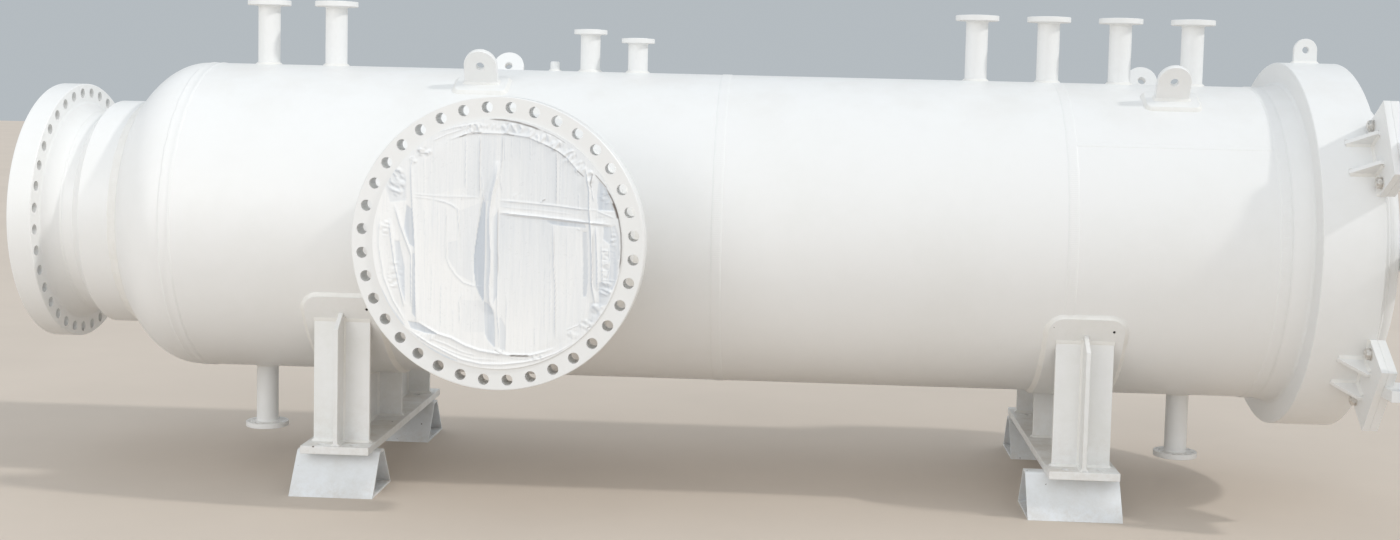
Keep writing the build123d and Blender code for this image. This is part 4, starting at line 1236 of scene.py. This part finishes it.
def makeHingeBolts():
    spec = hingeBolt
    plateFace = vessel["ringEnd"] - vessel["hingePlateThickness"]
    points, faces = [], []
    corner = spec["acrossFlats"] / 2 / math.cos(math.pi / 6)
    flat = spec["acrossFlats"] / 2
    low, high = spec["washerHeight"], spec["washerHeight"] + spec["nutHeight"]
    for degrees in vessel["hingeAngles"]:
        angle = math.radians(degrees)
        outward = Vector((0, -math.cos(angle), math.sin(angle)))
        around = Vector((0, math.sin(angle), math.cos(angle)))
        for index, sign in enumerate((-1, 1)):
            centre = (at(plateFace, 0, 0) + outward * spec["radius"]
                      + around * sign * spec["offset"])
            turn = math.radians(17 + 23 * index + degrees)
            first = outward * math.cos(turn) + around * math.sin(turn)
            axis = -right
            washer = spec["washerRadius"]
            addTurned(points, faces, centre, axis, first, [
                (0.0, washer), (low - 0.0005, washer), (low, washer - 0.0005)], 36)
            addTurned(points, faces, centre, axis, first, [
                (low, flat), (low + 0.0012, corner - 0.0014), (low + 0.0028, corner),
                (high - 0.0028, corner), (high - 0.0012, corner - 0.0014), (high, flat)],
                48, hexRadius(spec["acrossFlats"], corner))
            stud, tip = spec["studRadius"], spec["studReach"]
            rings = [(high - 0.001, stud)]
            thread = high
            while thread < tip - 0.004:
                rings += [(thread, stud), (thread + 0.0015, stud - 0.0012)]
                thread += 0.003
            rings += [(tip - 0.0025, stud), (tip, stud - 0.0025)]
            addTurned(points, faces, centre, axis, first, rings, 28)
    finishMesh("hinge_stud_nuts", points, faces, zinc, 35.0)


makeHingeBolts()
makeVentHoleShades()
print("bolts ready")


# Floor, lamps and world

studio = {
    "floorColor": (0.66, 0.575, 0.49, 1),
    "backgroundColor": (0.46, 0.50, 0.53, 1),
    "fillColor": (0.89, 0.945, 1.0, 1), "fillStrength": 0.81,
    "sunColor": (1.0, 0.985, 0.96), "sunStrength": 1.01, "sunAngle": 3.0,
    "sunFrom": (0.76, -0.17, 0.62),
    "softColor": (1.0, 0.99, 0.97), "softStrength": 0.55, "softAngle": 70.0,
    "softFrom": (-0.12, -0.92, 0.34),
    "panelColor": (1.0, 0.995, 0.985), "panelPower": 54.0, "panelSize": 2.5,
    "panelPlace": (-4.2, -5.2, 2.7), "panelAim": (-1.4, 0.0, 0.9),
    "floorHalf": 40.0,
}


def makeStudio(spec):
    half = spec["floorHalf"]
    floorMesh = bpy.data.meshes.new("floor")
    floorMesh.from_pydata([(-half, -half, 0), (half, -half, 0), (half, half, 0),
                           (-half, half, 0)], [], [(0, 1, 2, 3)])
    floor = bpy.data.objects.new("floor", floorMesh)
    bpy.context.scene.collection.objects.link(floor)
    material = bpy.data.materials.new("floorFinish")
    material.use_nodes = True
    tree = material.node_tree
    shader = tree.nodes["Principled BSDF"]
    place = put(tree, "ShaderNodeTexCoord").outputs["Object"]
    cloud = ramp(tree, noiseAt(tree, place, 1.1, 5.0), 0.3, 0.7)
    color = spec["floorColor"]
    darker = tuple(value * 0.96 for value in color[:3]) + (1,)
    tree.links.new(mixColor(tree, cloud, color, darker), shader.inputs["Base Color"])
    shader.inputs["Roughness"].default_value = 0.85
    floorMesh.materials.append(material)
    world = bpy.data.worlds.new("studio")
    world.use_nodes = True
    bpy.context.scene.world = world
    tree = world.node_tree
    shown = tree.nodes["Background"]
    shown.inputs["Color"].default_value = spec["backgroundColor"]
    shown.inputs["Strength"].default_value = 1.0
    fill = put(tree, "ShaderNodeBackground", {
        "Color": spec["fillColor"], "Strength": spec["fillStrength"]})
    path = put(tree, "ShaderNodeLightPath").outputs
    seen = mathOf(tree, "ADD", path["Is Camera Ray"], mathOf(
        tree, "ADD", path["Is Glossy Ray"], path["Is Transmission Ray"]))
    either = put(tree, "ShaderNodeMixShader", links={
        0: mathOf(tree, "MINIMUM", seen, 1.0), 1: fill.outputs[0], 2: shown.outputs[0]})
    tree.links.new(either.outputs[0], tree.nodes["World Output"].inputs["Surface"])
    for name in ("sun", "soft"):
        lamp = bpy.data.lights.new(name, "SUN")
        lamp.energy = spec[name + "Strength"]
        lamp.angle = math.radians(spec[name + "Angle"])
        lamp.color = spec[name + "Color"]
        light = bpy.data.objects.new(name, lamp)
        light.rotation_mode = "QUATERNION"
        light.rotation_quaternion = Vector(spec[name + "From"]).to_track_quat("Z", "Y")
        bpy.context.scene.collection.objects.link(light)
    lamp = bpy.data.lights.new("panel", "AREA")
    lamp.energy = spec["panelPower"]
    lamp.size = spec["panelSize"]
    lamp.color = spec["panelColor"]
    light = bpy.data.objects.new("panel", lamp)
    light.location = spec["panelPlace"]
    light.rotation_mode = "QUATERNION"
    aim = Vector(spec["panelPlace"]) - Vector(spec["panelAim"])
    light.rotation_quaternion = aim.to_track_quat("Z", "Y")
    light.visible_camera = False
    bpy.context.scene.collection.objects.link(light)
    # the panel leaves the floor out, so that no pale patch shows on it
    unlit = bpy.data.collections.new("panelLeavesOut")
    unlit.objects.link(floor)
    unlit.collection_objects[0].light_linking.link_state = "EXCLUDE"
    light.light_linking.receiver_collection = unlit


makeStudio(studio)
bpy.context.scene.view_settings.view_transform = "Standard"
print("studio ready")
